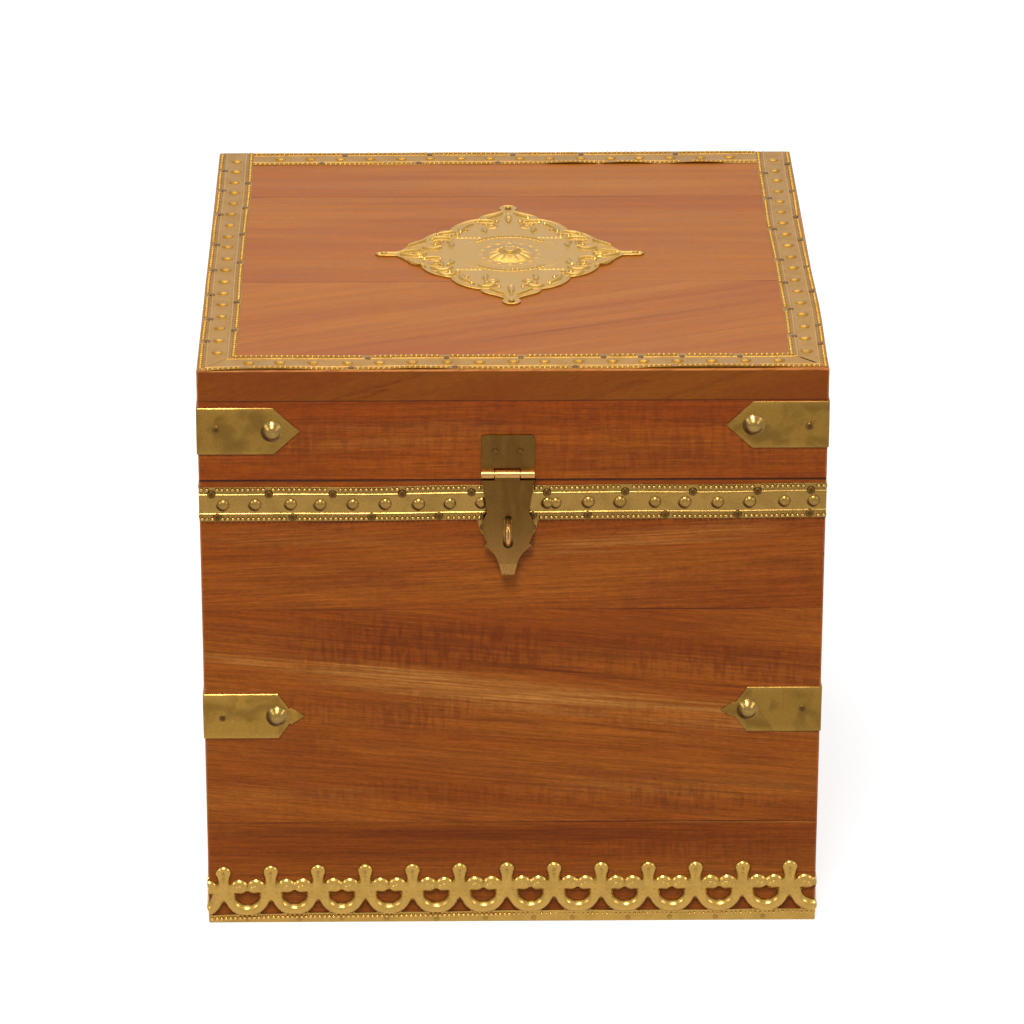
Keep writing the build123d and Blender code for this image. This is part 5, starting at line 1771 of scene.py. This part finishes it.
# ======== hinges ========
class CHEST_OT_hinges(bpy.types.Operator):
    """Make the two butt hinges at the back with their slotted screws"""

    bl_idname = "chest.hinges"
    bl_label = "Hinges"

    def execute(self, context):
        tones = context.scene.chest_brass
        material = brass("hinge_brass", tones.hinge, tones.tarnish, patch=0.3)
        screws = {"body": Shell(), "lid": Shell()}
        for side in ("left", "right"):
            pin_low, pin_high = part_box(f"hinge_{side}_pin")
            centre, axis_y, _ = centre_of(f"hinge_{side}_pin")
            length = pin_high.x - pin_low.x
            radius = 3.2 * MM
            pitch = length / 3
            for part, body, up, own in (("body", "chest", -1, (0, 2)), ("lid", "lid", 1, (1,))):
                shell = Shell()
                self.leaf(shell, centre, length, axis_y, up, screws[part])
                for index in own:
                    start = centre - length / 2 + index * pitch + 0.1 * MM
                    self.knuckle(shell, start, pitch - 0.2 * MM, axis_y, radius, 1.4 * MM)
                node = f"hinge_{side}_{part}_leaf"
                shell.piece(f"{node}_sheet", body, material, "hinge_brass", [node])
            pin = Shell()
            self.knuckle(pin, pin_low.x - 0.15 * MM, length + 0.3 * MM, axis_y, 1.2 * MM)
            pin.piece(f"hinge_{side}_pin_rod", "chest", material, "hinge_brass", [f"hinge_{side}_pin"])
        for part, body in (("body", "chest"), ("lid", "lid")):
            node = f"hinge_{part}_screws"
            screws[part].piece(f"{node}_slotted", body, material, "hinge_brass", [node])
        return {"FINISHED"}

    def leaf(self, shell, centre, length, axis_y, up, screws):
        """A leaf in its housing: its face lies in the seam."""
        depth, thickness = 11.0 * MM, 1.15 * MM
        half = length / 2 - 0.1 * MM
        outline = [(-half, -depth), (half, -depth), (half, -2.6 * MM), (-half, -2.6 * MM)]
        spots = [(x, -7.1 * MM) for x in (-14 * MM, 14 * MM)]
        holes = [arc(spot, 2.5 * MM, 0, 337.5, 15) for spot in spots]
        sheet = cut_sheet(outline, holes, thickness, 0.1 * MM)
        bed = Matrix.Translation((centre, axis_y, SEAM_Z - (thickness if up < 0 else 0)))
        shell.add_form(sheet, bed)
        # a screw's slot is the gap between two half discs, over a lower disc
        half_disc = arc((0, 0), 2.4 * MM, 8, 172, 12)
        disc = arc((0, 0), 2.38 * MM, 0, 345, 23)
        flip = Matrix.Rotation(math.pi if up > 0 else 0.0, 4, "X")
        for x, y in spots:
            seat = Matrix.Translation((centre + x, axis_y + y, SEAM_Z + up * 0.03 * MM)) @ flip
            for angle in (215, 35):
                turn = Matrix.Rotation(math.radians(angle), 4, "Z") @ Matrix.Translation((0, 0, -0.5 * MM))
                screws.add_form(cut_sheet(half_disc, [], 0.5 * MM, 0.08 * MM), seat @ turn)
            slot_floor = Matrix.Translation((0, 0, -1.0 * MM))
            screws.add_form(cut_sheet(disc, [], 0.6 * MM, 0.05 * MM), seat @ slot_floor)

    def knuckle(self, shell, start, length, axis_y, radius, bore=0.0):
        form = turned(
            [
                (bore, 0.0, 0.4),
                (radius - 0.15 * MM, 0.0, 0.5),
                (radius, 0.15 * MM, 0.7),
                (radius, length - 0.15 * MM, 0.7),
                (radius - 0.15 * MM, length, 0.5),
                (bore, length, 0.4),
            ],
            24,
            bored=bore > 0,
        )
        turn = Matrix.Translation((start, axis_y, SEAM_Z)) @ Matrix.Rotation(math.pi / 2, 4, "Y")
        shell.add_form(form, turn)


# ======== medallion ========
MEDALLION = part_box("medallion")
MEDALLION_X, MEDALLION_Y, _ = centre_of("medallion")
SIDE_REACH = 59.5 * MM
TAB_REACH = 65.8 * MM
LOBES = 4
LOBE_BOW = 3.3 * MM

# one quarter of the carving, in millimetres from the centre: leaves are (start, bend, end, width)
LEAVES = [
    ((55.0, 1.2), (50.5, 3.4), (44.5, 4.6), 1.2),
    ((49.0, 0.0), (46.0, 0.4), (42.5, 0.0), 0.9),
    ((51.5, 10.5), (48.0, 14.0), (43.0, 18.5), 1.3),
    ((44.0, 8.0), (39.0, 6.0), (35.0, 8.0), 1.3),
    ((39.5, 20.5), (34.0, 23.0), (29.5, 20.0), 1.9),
    ((36.5, 26.5), (33.0, 29.5), (28.0, 30.0), 1.8),
    ((24.8, 30.5), (23.5, 36.5), (18.5, 42.0), 1.5),
    ((12.6, 37.0), (12.8, 34.0), (12.0, 30.5), 1.2),
    ((16.0, 45.0), (12.0, 46.8), (8.0, 44.5), 1.7),
    ((3.0, 57.5), (7.0, 53.5), (10.5, 50.5), 1.1),
    ((0.0, 56.0), (0.6, 50.0), (0.0, 44.5), 0.9),
    ((31.5, 16.0), (29.5, 13.0), (30.0, 9.0), 1.2),
]
# pearls are (x, y, radius)
PEARLS = [
    (37.6, 13.2, 1.5),
    (30.5, 25.6, 1.3),
    (26.6, 26.2, 1.3),
    (12.0, 41.3, 1.5),
    (22.0, 33.0, 1.2),
    (34.5, 17.0, 1.1),
    (6.0, 46.5, 1.0),
]
VOLUTES = [(37.6, 13.2, 3.4), (9.0, 39.0, 2.6)]


def medallion_outline(x, y):
    """Distance inside the lobed diamond with its round tabs and pointed tips."""
    ax, ay = np.abs(x), np.abs(y)
    side = math.hypot(SIDE_REACH, TAB_REACH)
    along = ((SIDE_REACH - ax) * SIDE_REACH + ay * TAB_REACH) / side
    beyond = (ax * TAB_REACH + ay * SIDE_REACH - SIDE_REACH * TAB_REACH) / side
    place = held(along / side) * LOBES
    middle = LOBE_BOW * np.sin(np.pi * (place % 1.0)) ** 0.75
    # the end lobes swell near their cusp and hollow towards the tip
    near_tip = held(np.minimum(place, LOBES - place))
    ogee = LOBE_BOW * (0.75 * np.sin(np.pi * near_tip ** 2.2) - 0.3 * np.sin(np.pi * near_tip) ** 2)
    bow = np.where((place > 1) & (place < LOBES - 1), middle, ogee) + 0.6 * MM
    diamond = bow - beyond
    tab = 4.6 * MM - np.hypot(ax, ay - TAB_REACH)
    stem = np.minimum(3.4 * MM - ax, TAB_REACH + 0.5 * MM - ay)
    tip = np.minimum.reduce(
        [2.7 * MM - ay - 0.12 * np.clip(ax - 62 * MM, 0, None), 68.4 * MM - ax - ay * 0.7, ax - 50 * MM]
    )
    return np.maximum.reduce([diamond, tab, np.minimum(stem, ay - 50 * MM), tip])


def curve_points(start, bend, end, count=12):
    """Points on a quadratic curve that passes through bend half-way."""
    control = [2 * b - (a + c) / 2 for a, b, c in zip(start, bend, end)]
    return [
        tuple((1 - u) ** 2 * a + 2 * u * (1 - u) * k + u * u * c for a, k, c in zip(start, control, end))
        for u in [n / count for n in range(count + 1)]
    ]


def leaf_relief(ax, ay, start, bend, end, width):
    """A pointed leaf of the carving: its height from 0 to 1."""
    best = np.full_like(ax, -1.0)
    points = curve_points(start, bend, end)
    for n, (px, py) in enumerate(points):
        swell = math.sin(math.pi * (0.08 + 0.86 * n / (len(points) - 1))) ** 0.7
        reach = width * swell
        distance = np.hypot(ax / MM - px, ay / MM - py)
        best = np.maximum(best, 1 - (distance / reach) ** 2)
    return held(best) ** 1.2


def medallion_relief(x, y, settings):
    """Height of the carving over the wood."""
    ax, ay = np.abs(x), np.abs(y)
    depth = medallion_outline(x, y)
    rim = ridge(depth, 0.8 * MM, 0.6 * MM)
    line = ridge(depth, 3.9 * MM, 0.6 * MM)
    raised = 0.3 * rim + 0.12 * line * (ay > 2 * MM)
    for start, bend, end, width in LEAVES:
        raised = np.maximum(raised, 0.9 * leaf_relief(ax, ay, start, bend, end, 1.45 * width))
    for px, py, radius in PEARLS:
        pearl = 1 - (np.hypot(ax / MM - px, ay / MM - py) / radius) ** 2
        raised = np.maximum(raised, 0.85 * held(pearl) ** 0.7)
    for px, py, radius in VOLUTES:
        away = np.hypot(ax / MM - px, ay / MM - py)
        angle = np.arctan2(ay / MM - py, ax / MM - px)
        ring = ridge(away, radius, 0.65) * (0.6 + 0.4 * np.cos(angle - 2.2))
        raised = np.maximum(raised, 0.8 * ring)
    # the cartouche: a beaded arc above and below, a faint inner ring, and a fluted boss
    radius = np.hypot(x, y) / MM
    angle = np.arctan2(y, x)
    upright = held((np.abs(np.sin(angle)) - 0.66) / 0.08)
    beads = 0.55 + 0.45 * np.cos(angle * 62)
    arc_ridge = ridge(radius, 24.0, 0.75) * upright * beads
    straight = ridge(ay / MM, 22.4, 0.6) * (ax > 14 * MM) * (ax < 28 * MM)
    raised = np.maximum(raised, 0.45 * straight * (0.6 + 0.4 * np.cos(ax / (0.35 * MM))))
    side_line = ridge(np.hypot(ax / MM / 28.0, ay / MM / 24.0), 1.0, 0.02) * (1 - upright)
    inner = ridge(radius, 17.0, 0.7)
    petals = ridge(radius, 14.8, 1.1) * (0.5 + 0.5 * np.cos(angle * 16))
    raised = np.maximum.reduce([raised, 0.95 * arc_ridge, 0.16 * side_line, 0.12 * inner, 0.3 * petals])
    flutes = 0.72 + 0.28 * np.abs(np.cos(angle * 7)) ** 0.7
    boss_radius = 13.2
    dome = held(1 - (radius / boss_radius) ** 1.7) ** 0.75
    boss = 1.8 * dome * np.where(radius > 4.5, flutes, 1.0)
    dish = 0.8 * ridge(radius, 4.4, 1.0)
    knob = 0.35 * held(1 - (radius / 3.0) ** 2) ** 0.5
    boss = np.where(radius < boss_radius, np.maximum(boss - dish, 0) + knob, 0)
    raised = np.maximum(raised, boss)
    # gentle unevenness of hand-hammered sheet
    uneven = 0.05 * np.sin(x / (5.3 * MM) + 1.3) * np.sin(y / (4.1 * MM) + 0.4)
    tallest = MEDALLION[1].z - TOP_Z - 0.1 * MM
    return np.minimum(settings.thickness + settings.relief * (raised + uneven), tallest)


class CHEST_OT_medallion(bpy.types.Operator):
    """Emboss the diamond on the lid and nail it down"""

    bl_idname = "chest.medallion"
    bl_label = "Medallion"

    def execute(self, context):
        settings = context.scene.chest_medallion
        tones = context.scene.chest_brass
        film = scaled(tones.medallion, 0.74)
        material = brass("medallion_brass", tones.medallion, film, gloss=0.27, grain=0.2, depth=0.7)
        shell = Shell()
        turn = along_matrix("top", (MEDALLION_X, MEDALLION_Y, 0))
        reach_x, reach_y = 69.5 * MM, 71.5 * MM
        relief_sheet(
            shell,
            turn,
            medallion_outline,
            lambda x, y: medallion_relief(x, y, settings),
            (-reach_x, -reach_y),
            (reach_x, reach_y),
            settings.step,
            contrast=0.7 * MM,
        )
        shell.piece("medallion_embossed", "lid", material, "medallion_brass", ["medallion"])
        nails = Shell()
        half_x = (MEDALLION[1].x - MEDALLION[0].x) / 2 - 4.6 * MM
        half_y = (MEDALLION[1].y - MEDALLION[0].y) / 2 - 4.6 * MM
        for x, y in ((-half_x, 0), (half_x, 0), (0, -half_y), (0, half_y)):
            place = (MEDALLION_X + x, MEDALLION_Y + y, settings.thickness + 0.3 * MM)
            nails.add_form(round_nail(1.6 * MM, 0.9 * MM, 14), along_matrix("top", place))
        nails.piece("medallion_nails_round", "lid", material, "nail_brass", ["medallion_pins"])
        return {"FINISHED"}


# ======== stage ========
class CHEST_OT_stage(bpy.types.Operator):
    """Set up the camera, the floor and the lamps"""

    bl_idname = "chest.stage"
    bl_label = "Stage"

    def execute(self, context):
        stage = context.scene.chest_stage
        self.camera(context.scene, stage)
        self.floor(stage)
        self.world(context.scene, stage)
        lamps = {
            "key_lamp": ((-0.16, -1.0, 1.6), (0.45, 0.45), stage.key_power),
            "top_lamp": ((0.0, 0.9, 1.7), (0.9, 0.9), stage.top_power),
            "left_lamp": ((-1.5, -1.0, 1.0), (0.5, 0.5), stage.side_power),
            "right_lamp": ((1.5, -1.0, 1.0), (0.5, 0.5), stage.side_power),
            "back_lamp": ((0.0, 2.5, 1.6), (2.0, 1.2), stage.back_power),
        }
        for name, (place, size, power) in lamps.items():
            self.lamp(name, place, size, power)
        context.scene.view_settings.view_transform = "Standard"
        return {"FINISHED"}

    def camera(self, scene, stage):
        data = bpy.data.cameras.new("camera")
        data.lens = stage.camera_lens
        data.sensor_width = 36.0
        data.clip_start, data.clip_end = 0.05, 50.0
        made = placed("camera", data)
        turn = (
            Matrix.Rotation(stage.camera_yaw, 4, "Z")
            @ Matrix.Rotation(math.pi / 2 - stage.camera_pitch, 4, "X")
            @ Matrix.Rotation(stage.camera_roll, 4, "Z")
        )
        made.matrix_world = Matrix.Translation(stage.camera_place) @ turn
        scene.camera = made

    def floor(self, stage):
        """A pale floor that shows white and keeps the chest's soft shadow."""
        recipe = Recipe(bpy.data.materials.new("floor_white"))
        paint = recipe.node("ShaderNodeBsdfDiffuse", inputs={"Color": (*stage.floor, 1.0)})
        glow = recipe.node("ShaderNodeEmission", inputs={"Strength": recipe.seen * stage.floor_glow})
        both = recipe.node("ShaderNodeAddShader", inputs={0: paint, 1: glow})
        recipe.node("ShaderNodeOutputMaterial", inputs={"Surface": both})
        reach = 8.0
        corners = [(-reach, -reach, 0), (reach, -reach, 0), (reach, reach, 0), (-reach, reach, 0)]
        mesh = bpy.data.meshes.new("floor")
        mesh.from_pydata(corners, [], [(0, 1, 2, 3)])
        mesh.materials.append(recipe.owner)
        placed("floor", mesh)

    def world(self, scene, stage):
        """A white background, and a softer light of the same colour from all round."""
        recipe = Recipe(bpy.data.worlds.new("studio"))
        scene.world = recipe.owner
        strength = recipe.node("ShaderNodeMapRange", inputs={0: recipe.seen, 3: stage.ambient, 4: 1.0})
        white = {"Color": (1, 1, 1, 1), "Strength": strength}
        background = recipe.node("ShaderNodeBackground", inputs=white)
        recipe.node("ShaderNodeOutputWorld", inputs={"Surface": background})

    def lamp(self, name, place, size, power):
        """A rectangular lamp that faces the middle of the chest."""
        data = bpy.data.lights.new(name, "AREA")
        data.shape = "RECTANGLE"
        data.size, data.size_y = size
        data.energy = power
        made = placed(name, data)
        made.location = place
        middle = Vector((0, 0, 0.17))
        made.rotation_euler = (middle - Vector(place)).to_track_quat("-Z", "Y").to_euler()


class CHEST_PT_sidebar(bpy.types.Panel):
    """The chest's pieces and their settings"""

    bl_idname = "CHEST_PT_sidebar"
    bl_label = "Damchiya chest"
    bl_space_type = "VIEW_3D"
    bl_region_type = "UI"
    bl_category = "Chest"

    def draw(self, context):
        for title, group in SETTINGS.items():
            box = self.layout.box()
            box.label(text=title.replace("chest_", "").capitalize())
            for name in group.__annotations__:
                box.prop(getattr(context.scene, title), name)
        for operator in OPERATORS:
            self.layout.operator(operator.bl_idname)


SETTINGS = {
    "chest_wood": ChestWood,
    "chest_brass": ChestBrass,
    "chest_ribbon": ChestRibbon,
    "chest_border": ChestBorder,
    "chest_medallion": ChestMedallion,
    "chest_stage": ChestStage,
}
OPERATORS = [
    CHEST_OT_stage,
    CHEST_OT_boards,
    CHEST_OT_ribbons,
    CHEST_OT_border,
    CHEST_OT_straps,
    CHEST_OT_hasp,
    CHEST_OT_staple,
    CHEST_OT_hinges,
    CHEST_OT_medallion,
]


def register():
    for group in [*SETTINGS.values(), *OPERATORS, CHEST_PT_sidebar]:
        bpy.utils.register_class(group)
    for name, group in SETTINGS.items():
        setattr(bpy.types.Scene, name, bpy.props.PointerProperty(type=group))


def unregister():
    for name in SETTINGS:
        delattr(bpy.types.Scene, name)
    for group in [CHEST_PT_sidebar, *reversed(OPERATORS), *reversed(SETTINGS.values())]:
        bpy.utils.unregister_class(group)


def main():
    register()
    bpy.ops.chest.stage()
    bpy.ops.chest.boards()
    bpy.ops.chest.ribbons()
    bpy.ops.chest.border()
    bpy.ops.chest.straps()
    bpy.ops.chest.hasp()
    bpy.ops.chest.staple()
    bpy.ops.chest.hinges()
    bpy.ops.chest.medallion()


if __name__ == "__main__":
    main()
